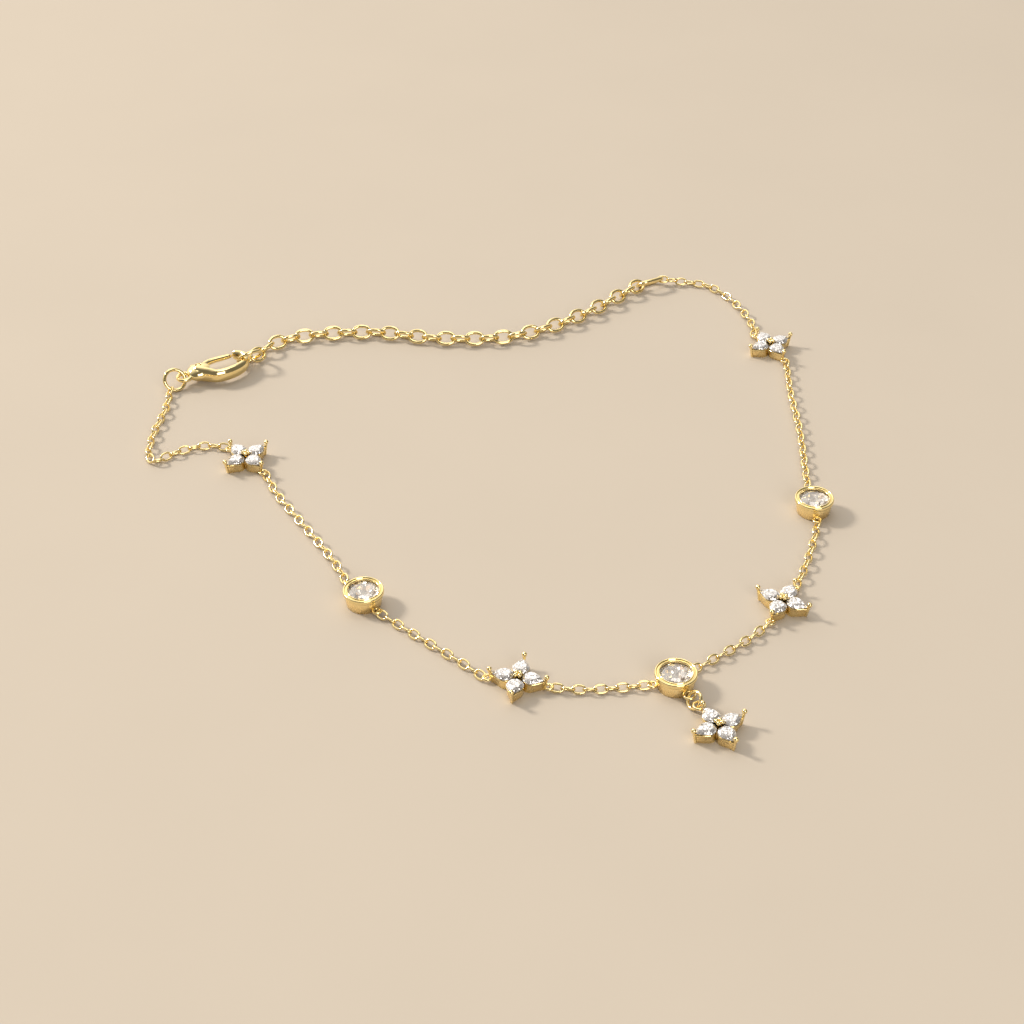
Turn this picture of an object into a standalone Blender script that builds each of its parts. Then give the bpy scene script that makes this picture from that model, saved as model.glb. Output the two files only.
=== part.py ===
"""Charm anklet: a fine chain with flower charms, bezel stones, a drop and a lobster clasp.

Metres, +Z up. The anklet lies closed on the plane z = 0. The origin is the middle of
the loop's bounding box, on that plane, and the wearer's ankle goes through the loop.
"""

import math
from dataclasses import dataclass

import bmesh
import bpy
from mathutils import Matrix, Vector

# Clearances
FIT_GAP = 0.0001
CHAIN_GAP = 0.00015
PIN_GAP = 0.00008
SOLDER = 0.00015
LINK_SOLDER = 0.00014
WELD = 0.0000005

# How finely round pieces are cut
CUP_SIDES = 16
LINK_SIDES = 10
RING_SIDES = 12
WIRE_SIDES = 5
PRONG_SIDES = 7
BEAD_SIDES = 6
ROUND_STONE_SIDES = 16
PEAR_STONE_SIDES = 12
PETAL_POINTS = 7
CURVE_STEPS = 12
SHARP_ANGLE = 35.0

# Round stones and their bezels
STONE_RADIUS = 0.00172
STONE_TABLE_RADIUS = 0.00095
STONE_CROWN = 0.00034
STONE_GIRDLE = 0.00006
STONE_PAVILION = 0.00115
PAVILION_BREAK_SHARE = 0.32
BEZEL_HEIGHT = 0.0020
BEZEL_WALL = 0.00038
BEZEL_COLLAR = 0.00052
BEZEL_GROOVE = 0.00016
BEZEL_TAPER = 0.00022
BEZEL_FLOOR = 0.00030
BEZEL_EDGE = 0.00013
BEZEL_SEAT_SHARE = 0.86
BEZEL_FLOOR_SHARE = 0.35
LIP_OVERLAP = 0.00016

# Pear stones, four to a flower, and the gallery that carries them
PEAR_RADIUS = 0.00092
PEAR_TIP_ANGLE = 45.0
PEAR_BULGE = 0.035
PEAR_TABLE_SHARE = 0.56
PEAR_CROWN = 0.00032
PEAR_GIRDLE = 0.00006
PEAR_PAVILION = 0.00060
PETALS = 4
PETAL_SWEEP = 135.0
GALLERY_HEIGHT = 0.00115
GALLERY_WALL = 0.00022
GALLERY_FLOOR = 0.00040
GALLERY_FOOT_SHARE = 0.90
GALLERY_TIP_LENGTH = 0.00016
PRONG_RADIUS = 0.00017
PRONG_BALL_RADIUS = 0.00030
PRONG_BALL_TOP = 45.0
PRONG_BALL_SIDE = -5.0
PRONG_NECK_SHARE = 0.80
HEART_BEAD_RADIUS = 0.00023
HEART_BEAD_RING = 0.00029
HEART_POST_RADIUS = 0.00024

# Chain of fine links, here as the tube that it fills, and the loops it hooks into
CHAIN_WIDTH = 0.00095
CHAIN_POINT_STEP = 0.0022
LOOP_RADIUS = 0.00041
LOOP_WIRE = 0.00028
DROP_LOOP_RADIUS = 0.00058
DROP_RING_RADIUS = 0.00088
DROP_RING_WIRE = 0.00035
DROP_RING_ROLL = 55.0

# Extender chain of larger links, and the oval ring that joins it to the fine chain
LINK_PITCH = 0.0018
LINK_WIDTH = 0.0020
LINK_WIRE = 0.00035
LINK_ROLL = 45.0
CONNECTOR_LENGTH = 0.0040
CONNECTOR_WIDTH = 0.0025
CONNECTOR_WIRE = 0.00055
CONNECTOR_ROLL = 40.0

# Lobster clasp and the rings at its two ends
CLASP_SPAN = 0.0087
CLASP_SPINE = 0.00195
CLASP_WIRE = 0.00112
CLASP_THICKNESS = 0.00175
CLASP_BULB_LENGTH = 0.0034
CLASP_BULB_WIDTH = 0.0028
CLASP_BULB_THICKNESS = 0.0019
CLASP_BULB_OFFSET = 0.00018
CLAW_BAR = 0.00048
CLAW_TIP_SETBACK = 0.00060
CLAW_TIP_DROP = 0.00010
CLAW_TIP_THICK = 0.74
PIVOT_X = 0.0021
PIVOT_Y = 0.00045
PIN_RADIUS = 0.00030
LEVER_ROOT_RADIUS = 0.00078
LEVER_THICKNESS = 0.00095
LEVER_WIDTH = 0.00078
LEVER_REACH = 0.00675
LEVER_OFFSET = 0.00165
LEVER_NUB_RADIUS = 0.00041
LEVER_NUB_BACK = 0.00039
LEVER_NUB_OUT = 0.00101
LEVER_NECK_WIDTH = 0.00058
EYE_RADIUS = 0.00082
EYE_WIRE = 0.00050
TAIL_RING_RADIUS = 0.00128
END_RING_RADIUS = 0.00150
RING_WIRE = 0.00045
RING_ROLL = 52.0


@dataclass(frozen=True)
class Section:
    """A point of a bent bar, as shares of its length, its depth and its half width."""

    along: float
    across: float
    thick: float


# The claw from its bulb round to its nose, and the lever from its root to its tip
CLAW_SECTIONS = (
    Section(along=-0.07, across=0.00, thick=1.20),
    Section(along=0.13, across=0.55, thick=1.10),
    Section(along=0.26, across=0.92, thick=1.00),
    Section(along=0.55, across=0.98, thick=1.00),
    Section(along=0.84, across=0.70, thick=0.96),
    Section(along=1.00, across=0.14, thick=0.86),
    Section(along=1.00, across=-0.38, thick=0.86),
)
LEVER_SECTIONS = (
    Section(along=0.04, across=0.26, thick=1.00),
    Section(along=0.26, across=0.81, thick=1.00),
    Section(along=0.50, across=1.05, thick=0.92),
    Section(along=0.93, across=1.00, thick=0.80),
    Section(along=1.00, across=0.97, thick=0.66),
)


@dataclass(frozen=True)
class Station:
    """A charm on the chain: its middle, and where the chain arrives and leaves, in degrees."""

    name: str
    x: float
    y: float
    arrive: float
    leave: float

    def place(self):
        """The charm's middle on the ground plane."""
        return Vector((self.x, self.y, 0.0))


# Where the anklet lies, in metres. Each run's points are the ones that the chain passes
# between two charms; its ends follow from the loops of the charms beside it.
FLOWER_1 = Station("flower_1", -0.0276, 0.0036, 133.0, -47.0)
BEZEL_1 = Station("bezel_1", -0.0124, -0.0220, 129.0, -51.0)
FLOWER_2 = Station("flower_2", 0.0040, -0.0351, 167.0, -13.0)
BEZEL_2 = Station("bezel_2", 0.0200, -0.0352, 186.0, 46.0)
FLOWER_3 = Station("flower_3", 0.0322, -0.0228, 240.0, 60.0)
BEZEL_3 = Station("bezel_3", 0.0375, -0.0056, -86.0, 94.0)
FLOWER_4 = Station("flower_4", 0.0360, 0.0280, -62.0, 118.0)
FLOWERS = (FLOWER_1, FLOWER_2, FLOWER_3, FLOWER_4)
BEZELS = (BEZEL_1, BEZEL_2, BEZEL_3)
CHARMS = (FLOWER_1, BEZEL_1, FLOWER_2, BEZEL_2, FLOWER_3, BEZEL_3, FLOWER_4)
DROP_HEADING = -61.5
CLASP_X = -0.0369
CLASP_Y = 0.0202
CLASP_HEADING = 30.0
CONNECTOR_X = 0.0216
CONNECTOR_Y = 0.0436
CONNECTOR_HEADING = 207.0
TAIL_HOOK_ANGLE = -112.0
END_HOOK_ANGLE = 42.0

RUN_CLASP_FLOWER_1 = (
    (-0.0385, 0.0142),
    (-0.0392, 0.0092),
    (-0.0392, 0.0050),
    (-0.0382, 0.0035),
    (-0.0366, 0.0048),
    (-0.0342, 0.0062),
    (-0.0322, 0.0066),
)
RUN_FLOWER_1_BEZEL_1 = (
    (-0.0234, -0.0030),
    (-0.0206, -0.0077),
    (-0.0174, -0.0130),
    (-0.0154, -0.0167),
)
RUN_BEZEL_1_FLOWER_2 = ((-0.0085, -0.0261), (-0.0054, -0.0289), (-0.0020, -0.0319))
RUN_FLOWER_2_BEZEL_2 = ((0.0104, -0.0362), (0.0138, -0.0360))
RUN_BEZEL_2_FLOWER_3 = ((0.0246, -0.0312), (0.0277, -0.0287))
RUN_FLOWER_3_BEZEL_3 = ((0.0353, -0.0164), (0.0366, -0.0124))
RUN_BEZEL_3_FLOWER_4 = ((0.0375, 0.0032), (0.0377, 0.0102), (0.0375, 0.0172), (0.0376, 0.0214))
RUN_FLOWER_4_CONNECTOR = ((0.0342, 0.0340), (0.0332, 0.0374), (0.0314, 0.0410), (0.0284, 0.0438))
RUN_EXTENDER = (
    (0.0172, 0.0400),
    (0.0132, 0.0362),
    (0.0080, 0.0324),
    (0.0020, 0.0300),
    (-0.0060, 0.0298),
    (-0.0140, 0.0312),
    (-0.0218, 0.0306),
    (-0.0264, 0.0287),
)
FINE_RUNS = (
    RUN_CLASP_FLOWER_1,
    RUN_FLOWER_1_BEZEL_1,
    RUN_BEZEL_1_FLOWER_2,
    RUN_FLOWER_2_BEZEL_2,
    RUN_BEZEL_2_FLOWER_3,
    RUN_FLOWER_3_BEZEL_3,
    RUN_BEZEL_3_FLOWER_4,
    RUN_FLOWER_4_CONNECTOR,
)

# Sizes that follow from those above
PEAR_TIP = PEAR_RADIUS / math.cos(math.radians(PEAR_TIP_ANGLE))
PETAL_ORBIT = (PEAR_RADIUS + FIT_GAP / 2) / math.sin(math.pi / PETALS)
PEAR_GIRDLE_HEIGHT = GALLERY_HEIGHT + FIT_GAP
ABOVE_GIRDLE = PEAR_GIRDLE_HEIGHT + PEAR_GIRDLE + FIT_GAP
PRONG_ORBIT = PETAL_ORBIT + PEAR_TIP * (1 + PEAR_BULGE) + PRONG_RADIUS + FIT_GAP
GALLERY_TIP = PRONG_ORBIT - PETAL_ORBIT - PRONG_RADIUS + GALLERY_TIP_LENGTH
CHAIN_HEIGHT = CHAIN_WIDTH / 2
FLOWER_LOOP_ORBIT = PETAL_ORBIT + GALLERY_TIP * GALLERY_FOOT_SHARE + LOOP_RADIUS
FLOWER_REACH = FLOWER_LOOP_ORBIT + LOOP_RADIUS + LOOP_WIRE / 2
BEZEL_RADIUS = STONE_RADIUS + FIT_GAP + BEZEL_WALL
BEZEL_NECK_RADIUS = BEZEL_RADIUS - BEZEL_GROOVE
BEZEL_FOOT_RADIUS = BEZEL_NECK_RADIUS - BEZEL_TAPER
BEZEL_LOOP_ORBIT = BEZEL_FOOT_RADIUS + LOOP_RADIUS + LOOP_WIRE / 2
BEZEL_REACH = BEZEL_LOOP_ORBIT + LOOP_RADIUS + LOOP_WIRE / 2
STONE_GIRDLE_TOP = BEZEL_HEIGHT - STONE_CROWN
STONE_GIRDLE_FOOT = STONE_GIRDLE_TOP - STONE_GIRDLE
STONE_CULET = STONE_GIRDLE_FOOT - STONE_PAVILION
DROP_HEIGHT = DROP_RING_RADIUS * math.sin(math.radians(DROP_RING_ROLL)) + DROP_RING_WIRE / 2
BEZEL_DROP_ORBIT = BEZEL_NECK_RADIUS + DROP_LOOP_RADIUS
DROP_LOOP_ORBIT = PRONG_ORBIT + DROP_LOOP_RADIUS
CLAW_NOSE = CLASP_SPAN - CLAW_BAR - FIT_GAP
CLAW_INSIDE = CLAW_NOSE - CLAW_BAR - FIT_GAP
CLASP_HEIGHT = TAIL_RING_RADIUS * math.sin(math.radians(RING_ROLL)) + RING_WIRE / 2
END_RING_HEIGHT = END_RING_RADIUS * math.sin(math.radians(RING_ROLL)) + RING_WIRE / 2
LINK_HEIGHT = (LINK_WIDTH - LINK_WIRE) / 2 * math.sin(math.radians(LINK_ROLL)) + LINK_WIRE / 2
CONNECTOR_HEIGHT = (
    (CONNECTOR_WIDTH - CONNECTOR_WIRE) / 2 * math.sin(math.radians(CONNECTOR_ROLL)) + CONNECTOR_WIRE / 2
)


def turned_to(degrees, place=(0.0, 0.0, 0.0)):
    """The placement of a piece that is turned about the vertical and set down at place."""
    return Matrix.Translation(place) @ Matrix.Rotation(math.radians(degrees), 4, "Z")


def heading(degrees):
    """The level unit vector in that direction."""
    return Vector((math.cos(math.radians(degrees)), math.sin(math.radians(degrees)), 0.0))


def make_material(name, colour, roughness, metallic, transmission=0.0, ior=1.5):
    """A Principled surface for one metal or stone."""
    material = bpy.data.materials.new(name)
    material.use_nodes = True
    shader = material.node_tree.nodes["Principled BSDF"]
    shader.inputs["Base Color"].default_value = (*colour, 1.0)
    shader.inputs["Roughness"].default_value = roughness
    shader.inputs["Metallic"].default_value = metallic
    shader.inputs["Transmission Weight"].default_value = transmission
    shader.inputs["IOR"].default_value = ior
    return material


def object_of(name, shape):
    """An object in the scene that holds the shape, and frees it."""
    mesh = bpy.data.meshes.new(name)
    shape.to_mesh(mesh)
    shape.free()
    made = bpy.data.objects.new(name, mesh)
    bpy.context.scene.collection.objects.link(made)
    return made


def plain(piece):
    """The piece as a plain welded mesh with its modifiers applied, and the piece removed."""
    bpy.context.view_layer.update()
    graph = bpy.context.evaluated_depsgraph_get()
    mesh = bpy.data.meshes.new_from_object(piece.evaluated_get(graph))
    shape = bmesh.new()
    shape.from_mesh(mesh)
    bmesh.ops.transform(shape, matrix=piece.matrix_world, verts=shape.verts)
    bmesh.ops.remove_doubles(shape, verts=shape.verts, dist=WELD)
    bmesh.ops.dissolve_degenerate(shape, edges=shape.edges, dist=WELD)
    name = piece.name
    bpy.data.objects.remove(piece)
    bpy.data.meshes.remove(mesh)
    return object_of(name, shape)


def combined(body, pieces, operation="UNION"):
    """The body with pieces soldered on, or cut away, and the pieces removed."""
    for piece in pieces:
        step = body.modifiers.new(piece.name, "BOOLEAN")
        step.operation = operation
        step.solver = "EXACT"
        step.object = piece
    made = plain(body)
    for piece in pieces:
        bpy.data.objects.remove(piece)
    return made


def turned(name, profile, sides):
    """A turned piece from (radius, height) points that run down its outer side."""
    mesh = bpy.data.meshes.new(name)
    edges = [(i, i + 1) for i in range(len(profile) - 1)]
    mesh.from_pydata([(radius, 0.0, height) for radius, height in profile], edges, [])
    piece = bpy.data.objects.new(name, mesh)
    bpy.context.scene.collection.objects.link(piece)
    screw = piece.modifiers.new("turn", "SCREW")
    screw.steps = sides
    screw.render_steps = sides
    screw.use_merge_vertices = True
    screw.merge_threshold = WELD
    return plain(piece)


def ball(name, radius, centre, sides):
    """A small round bead."""
    shape = bmesh.new()
    bmesh.ops.create_uvsphere(
        shape,
        u_segments=sides,
        v_segments=sides // 2 + 1,
        radius=radius,
        matrix=Matrix.Translation(centre),
    )
    return object_of(name, shape)


def drum(name, radius, height, centre, sides):
    """A closed upright cylinder."""
    shape = bmesh.new()
    bmesh.ops.create_cone(
        shape,
        cap_ends=True,
        segments=sides,
        radius1=radius,
        radius2=radius,
        depth=height,
        matrix=Matrix.Translation(centre),
    )
    return object_of(name, shape)


def link(name, length, width, wire, placement, sides):
    """A closed wire ring, round or drawn out along its own X, whose sizes are outer ones."""
    bpy.ops.mesh.primitive_torus_add(
        major_segments=sides,
        minor_segments=WIRE_SIDES,
        major_radius=(width - wire) / 2,
        minor_radius=wire / 2,
    )
    piece = bpy.context.object
    piece.name = name
    stretch = (length - width) / 2
    for vertex in piece.data.vertices:
        if abs(vertex.co.x) > wire / 4 and stretch > 0:
            vertex.co.x += math.copysign(stretch, vertex.co.x)
    piece.data.transform(placement)
    return piece


def swept(name, points, flatten):
    """A bar along (x, y, radius) points on one level, its height its width times flatten."""
    widest = max(radius for _, _, radius in points)
    curve = bpy.data.curves.new(name, "CURVE")
    curve.dimensions = "3D"
    curve.bevel_depth = widest
    curve.bevel_resolution = 2
    curve.use_fill_caps = True
    spline = curve.splines.new("POLY")
    spline.points.add(len(points) - 1)
    for point, (x, y, radius) in zip(spline.points, points):
        point.co = (x, y, 0.0, 1.0)
        point.radius = radius / widest
    piece = bpy.data.objects.new(name, curve)
    bpy.context.scene.collection.objects.link(piece)
    piece.scale.z = flatten
    return plain(piece)


def smooth(points, pieces):
    """Points on the Catmull-Rom curve through the given ones, pieces to each stretch."""
    first = points[0] * 2 - points[1]
    last = points[-1] * 2 - points[-2]
    guides = [first, *points, last]
    curve = []
    for a, b, c, d in zip(guides, guides[1:], guides[2:], guides[3:]):
        for step in range(pieces):
            t = step / pieces
            curve.append(
                (b * 2 + (c - a) * t + (a * 2 - b * 5 + c * 4 - d) * t**2 + (b * 3 - a - c * 3 + d) * t**3)
                / 2
            )
    return [*curve, points[-1]]


def spaced(points, count):
    """Points at even steps along a curve, its two ends among them."""
    marks = [0.0]
    for before, after in zip(points, points[1:]):
        marks.append(marks[-1] + (after - before).length)
    found = []
    k = 0
    for step in range(count + 1):
        target = marks[-1] * step / count
        while k < len(points) - 2 and marks[k + 1] < target:
            k += 1
        share = (target - marks[k]) / (marks[k + 1] - marks[k])
        found.append(points[k].lerp(points[k + 1], share))
    return found


def length_of(points):
    """The length of a curve given by its points."""
    return sum((after - before).length for before, after in zip(points, points[1:]))


def facets(name, rings):
    """A cut stone: the convex body whose corners are the points of its rings."""
    shape = bmesh.new()
    for x, y, z in rings:
        shape.verts.new((x, y, z))
    hull = bmesh.ops.convex_hull(shape, input=shape.verts)
    bmesh.ops.delete(shape, geom=hull["geom_interior"], context="VERTS")
    bmesh.ops.recalc_face_normals(shape, faces=shape.faces)
    return object_of(name, shape)


def stone_corners(outline, centre, table_share, heights):
    """A cut stone's corners: table, crown, both edges of the girdle, pavilion and culet.

    The outline has an even number of corners. The main facets meet the girdle at every
    second one, and the break facets' corners lie between them on the main facets' planes.
    """
    top, upper, lower, culet = heights
    mains = outline[::2]
    breaks = outline[1::2]
    crown_share = (1 + table_share) / 2
    spread = math.cos(math.pi / len(mains))
    crown_drop = (crown_share * spread - table_share) / (1 - table_share)
    rings = [(mains, table_share, top)]
    rings.append((breaks, crown_share, top - (top - upper) * crown_drop))
    rings.append((outline, 1.0, upper))
    rings.append((outline, 1.0, lower))
    break_height = culet + (lower - culet) * PAVILION_BREAK_SHARE * spread
    rings.append((breaks, PAVILION_BREAK_SHARE, break_height))
    corners = [(centre[0], centre[1], culet)]
    for ring, share, height in rings:
        for x, y in ring:
            corners.append(
                (centre[0] + (x - centre[0]) * share, centre[1] + (y - centre[1]) * share, height)
            )
    return corners


def pear(theta, radius, tip):
    """A pear's outline, measured from the middle of its round end, tip along +X."""
    angle = abs((theta + math.pi) % (2 * math.pi) - math.pi)
    shoulder = math.acos(radius / tip)
    side = radius / math.cos(max(shoulder - angle, 0.0))
    bulge = 1 + PEAR_BULGE * math.cos(min(angle / shoulder, 1.0) * math.pi / 2)
    return side * bulge


def round_stone():
    """A round brilliant, upright, with its culet over the middle of its cup."""
    outline = []
    for k in range(ROUND_STONE_SIDES):
        theta = 2 * math.pi * k / ROUND_STONE_SIDES
        outline.append((STONE_RADIUS * math.cos(theta), STONE_RADIUS * math.sin(theta)))
    heights = (BEZEL_HEIGHT, STONE_GIRDLE_TOP, STONE_GIRDLE_FOOT, STONE_CULET)
    corners = stone_corners(outline, (0.0, 0.0), STONE_TABLE_RADIUS / STONE_RADIUS, heights)
    return facets("round_stone", corners)


def pear_stone():
    """A pear-cut stone on the first petal, its tip away from the flower's middle."""
    outline = []
    for k in range(PEAR_STONE_SIDES):
        theta = 2 * math.pi * k / PEAR_STONE_SIDES
        reach = pear(theta, PEAR_RADIUS, PEAR_TIP)
        outline.append((PETAL_ORBIT + reach * math.cos(theta), reach * math.sin(theta)))
    upper = PEAR_GIRDLE_HEIGHT + PEAR_GIRDLE
    culet = PEAR_GIRDLE_HEIGHT - PEAR_PAVILION
    heights = (upper + PEAR_CROWN, upper, PEAR_GIRDLE_HEIGHT, culet)
    corners = stone_corners(outline, (PETAL_ORBIT, 0.0), PEAR_TABLE_SHARE, heights)
    return facets("pear_stone", corners)


def soldered_loop(orbit, angle, height, radius, wire):
    """A small level ring that stands out from a setting at that angle."""
    centre = heading(angle) * orbit + Vector((0.0, 0.0, height))
    outer = 2 * radius + wire
    quarter_side = 90.0 / LINK_SIDES
    return link("loop", outer, outer, wire, turned_to(angle + quarter_side, centre), LINK_SIDES)


def chain_loop(orbit, angle):
    """A loop that the fine chain hooks into."""
    return soldered_loop(orbit, angle, CHAIN_HEIGHT, LOOP_RADIUS, LOOP_WIRE)


def drop_loop(orbit, angle):
    """A loop that the drop's ring goes through."""
    return soldered_loop(orbit, angle, DROP_HEIGHT, DROP_LOOP_RADIUS, LOOP_WIRE)


def bezel_setting(name, chain_angles, drop_angles):
    """A turned cup whose collar folds over the stone, with loops for what hangs on it."""
    pocket = STONE_RADIUS + FIT_GAP
    seat = STONE_GIRDLE_FOOT - FIT_GAP
    ledge = STONE_RADIUS * BEZEL_SEAT_SHARE
    ledge_drop = STONE_PAVILION * (1 - BEZEL_SEAT_SHARE) + FIT_GAP
    lip = STONE_RADIUS - LIP_OVERLAP
    crown_slope = STONE_CROWN / (STONE_RADIUS - STONE_TABLE_RADIUS)
    collar_foot = BEZEL_HEIGHT - BEZEL_COLLAR
    profile = [
        (0.0, BEZEL_FLOOR),
        (STONE_RADIUS * BEZEL_FLOOR_SHARE, BEZEL_FLOOR),
        (ledge, seat - ledge_drop),
        (pocket, seat),
        (pocket, STONE_GIRDLE_TOP + FIT_GAP / 2),
        (lip, STONE_GIRDLE_TOP + FIT_GAP + LIP_OVERLAP * crown_slope),
        (lip + BEZEL_EDGE, BEZEL_HEIGHT),
        (BEZEL_RADIUS - BEZEL_EDGE, BEZEL_HEIGHT),
        (BEZEL_RADIUS, BEZEL_HEIGHT - BEZEL_EDGE),
        (BEZEL_RADIUS, collar_foot),
        (BEZEL_NECK_RADIUS, collar_foot - BEZEL_GROOVE / 2),
        (BEZEL_FOOT_RADIUS, 0.0),
        (0.0, 0.0),
    ]
    cup = turned(name, profile, CUP_SIDES)
    loops = [chain_loop(BEZEL_LOOP_ORBIT, angle) for angle in chain_angles]
    loops += [drop_loop(BEZEL_DROP_ORBIT, angle) for angle in drop_angles]
    return combined(cup, loops)


def gallery_ring(share, inset, height):
    """The four-petalled outline of a flower's gallery at one height."""
    points = []
    radius = PEAR_RADIUS - inset
    tip = GALLERY_TIP - inset
    for petal in range(PETALS):
        for k in range(PETAL_POINTS):
            theta = math.radians(PETAL_SWEEP * (2 * k / (PETAL_POINTS - 1) - 1))
            reach = pear(theta, radius, tip)
            point = Vector((PETAL_ORBIT + reach * math.cos(theta), reach * math.sin(theta), 0.0))
            point = Matrix.Rotation(2 * math.pi * petal / PETALS, 3, "Z") @ point * share
            points.append((point.x, point.y, height))
    return points


def gallery():
    """A flower's open cup, lofted through outlines of one form from its back to its floor."""
    rings = [
        gallery_ring(GALLERY_FOOT_SHARE, 0.0, 0.0),
        gallery_ring(1.0, 0.0, GALLERY_HEIGHT),
        gallery_ring(1.0, GALLERY_WALL, GALLERY_HEIGHT),
        gallery_ring(GALLERY_FOOT_SHARE, GALLERY_WALL, GALLERY_FLOOR),
    ]
    shape = bmesh.new()
    loops = [[shape.verts.new(point) for point in ring] for ring in rings]
    count = len(loops[0])
    back = shape.verts.new((0.0, 0.0, 0.0))
    floor = shape.verts.new((0.0, 0.0, GALLERY_FLOOR))
    for k in range(count):
        after = (k + 1) % count
        shape.faces.new((back, loops[0][after], loops[0][k]))
        shape.faces.new((floor, loops[-1][k], loops[-1][after]))
        for lower, upper in zip(loops, loops[1:]):
            shape.faces.new((lower[k], lower[after], upper[after], upper[k]))
    return object_of("gallery", shape)


def prong(angle):
    """A wire that leans out along a petal's tip and ends in a ball above the stone."""
    foot = Vector(((PETAL_ORBIT + GALLERY_TIP) * GALLERY_FOOT_SHARE - PRONG_RADIUS, 0.0, PRONG_RADIUS))
    top = Vector((PRONG_ORBIT, 0.0, ABOVE_GIRDLE + PRONG_BALL_RADIUS))
    length = (top - foot).length
    profile = [(0.0, length + PRONG_BALL_RADIUS)]
    for degrees in (PRONG_BALL_TOP, PRONG_BALL_SIDE):
        out = heading(degrees) * PRONG_BALL_RADIUS
        profile.append((out.x, length + out.y))
    profile.append((PRONG_RADIUS, length - PRONG_BALL_RADIUS * PRONG_NECK_SHARE))
    profile += [(PRONG_RADIUS, 0.0), (0.0, 0.0)]
    piece = turned("prong", profile, PRONG_SIDES)
    lean = (top - foot).to_track_quat("Z", "Y").to_matrix().to_4x4()
    piece.data.transform(turned_to(angle) @ Matrix.Translation(foot) @ lean)
    return piece


def flower_setting(name, chain_angles, drop_angles):
    """A gallery with a prong on each petal's tip, a heart of beads and its loops."""
    bead_height = ABOVE_GIRDLE + HEART_BEAD_RADIUS
    post_foot = GALLERY_FLOOR - SOLDER
    post_middle = Vector((0.0, 0.0, (post_foot + bead_height) / 2))
    pieces = [drum("post", HEART_POST_RADIUS, bead_height - post_foot, post_middle, PRONG_SIDES)]
    for petal in range(PETALS):
        angle = 360.0 * petal / PETALS
        pieces.append(prong(angle))
        bead_middle = heading(angle + 180.0 / PETALS) * HEART_BEAD_RING
        bead_middle.z = bead_height
        pieces.append(ball("bead", HEART_BEAD_RADIUS, bead_middle, BEAD_SIDES))
    pieces += [chain_loop(FLOWER_LOOP_ORBIT, angle) for angle in chain_angles]
    pieces += [drop_loop(DROP_LOOP_ORBIT, angle) for angle in drop_angles]
    cup = gallery()
    cup.name = name
    return combined(cup, pieces)


def chain_run(name, start, points, end):
    """A stretch of the fine chain, as the tube that its links fill."""
    chosen = [start, *(Vector((x, y, CHAIN_HEIGHT)) for x, y in points), end]
    curve = smooth(chosen, CURVE_STEPS)
    route = spaced(curve, max(3, round(length_of(curve) / CHAIN_POINT_STEP)))
    tube = bpy.data.curves.new(name, "CURVE")
    tube.dimensions = "3D"
    tube.bevel_depth = CHAIN_WIDTH / 2
    tube.bevel_resolution = 2
    tube.use_fill_caps = True
    spline = tube.splines.new("POLY")
    spline.points.add(len(route) - 1)
    for point, place in zip(spline.points, route):
        point.co = (*place, 1.0)
    piece = bpy.data.objects.new(name, tube)
    bpy.context.scene.collection.objects.link(piece)
    return piece


def loop_end(charm, angle):
    """Where the chain's tube stops, just off the loop of a charm."""
    reach = FLOWER_REACH if charm in FLOWERS else BEZEL_REACH
    place = charm.place() + heading(angle) * (reach + CHAIN_GAP)
    place.z = CHAIN_HEIGHT
    return place


def ring_frame(centre, degrees, roll):
    """A ring's placement: its own X points to degrees, and it is rolled about that."""
    return turned_to(degrees, centre) @ Matrix.Rotation(math.radians(roll), 4, "X")


def round_ring(name, radius, wire, placement):
    """A round jump ring, from the radius of its wire's middle line."""
    outer = 2 * radius + wire
    return link(name, outer, outer, wire, placement, RING_SIDES)


def hooked(start, points, end, near_wire, far_wire):
    """The extender's middle line, lying on the ground and hooked round a wire at both ends."""
    chosen = [Vector((x, y, LINK_HEIGHT)) for x, y in (start.xy, *points, end.xy)]
    curve = smooth(chosen, CURVE_STEPS)
    near = (curve[0] - curve[1]).normalized() * (near_wire / 2 + LINK_WIRE / 2 + FIT_GAP)
    far = (curve[-1] - curve[-2]).normalized() * (far_wire / 2 + LINK_WIRE / 2 + FIT_GAP)
    return [curve[0] + near, *curve, curve[-1] + far]


def extender(name, curve):
    """The extender chain: real links along its middle line, soldered in a row.

    Their number is odd, so that the first and the last are rolled alike, across their rings.
    """
    count = 2 * round((length_of(curve) / LINK_PITCH - 1) / 2) + 1
    joints = spaced(curve, count)
    length = length_of(curve) / count + LINK_WIRE * 2 - LINK_SOLDER
    halves = (bmesh.new(), bmesh.new())
    for k, (before, after) in enumerate(zip(joints, joints[1:])):
        along = (after - before).normalized()
        roll = LINK_ROLL if k % 2 else -LINK_ROLL
        placement = ring_frame((before + after) / 2, math.degrees(math.atan2(along.y, along.x)), roll)
        piece = link("link", length, LINK_WIDTH, LINK_WIRE, placement, LINK_SIDES)
        halves[k % 2].from_mesh(piece.data)
        bpy.data.objects.remove(piece)
    even, odd = (object_of(name, half) for half in halves)
    return combined(even, [odd])


def bar_route(sections, start, length, depth, half_width):
    """The (x, y, radius) points of a bent bar, from a table of its sections."""
    return [
        Vector((start.x + row.along * length, start.y + row.across * depth, row.thick * half_width))
        for row in sections
    ]


def pivot_hole(name):
    """The cutter for the pin's hole."""
    middle = (PIVOT_X, PIVOT_Y, 0.0)
    return drum(name, PIN_RADIUS + PIN_GAP, CLASP_BULB_THICKNESS * 2, middle, LINK_SIDES)


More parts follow.
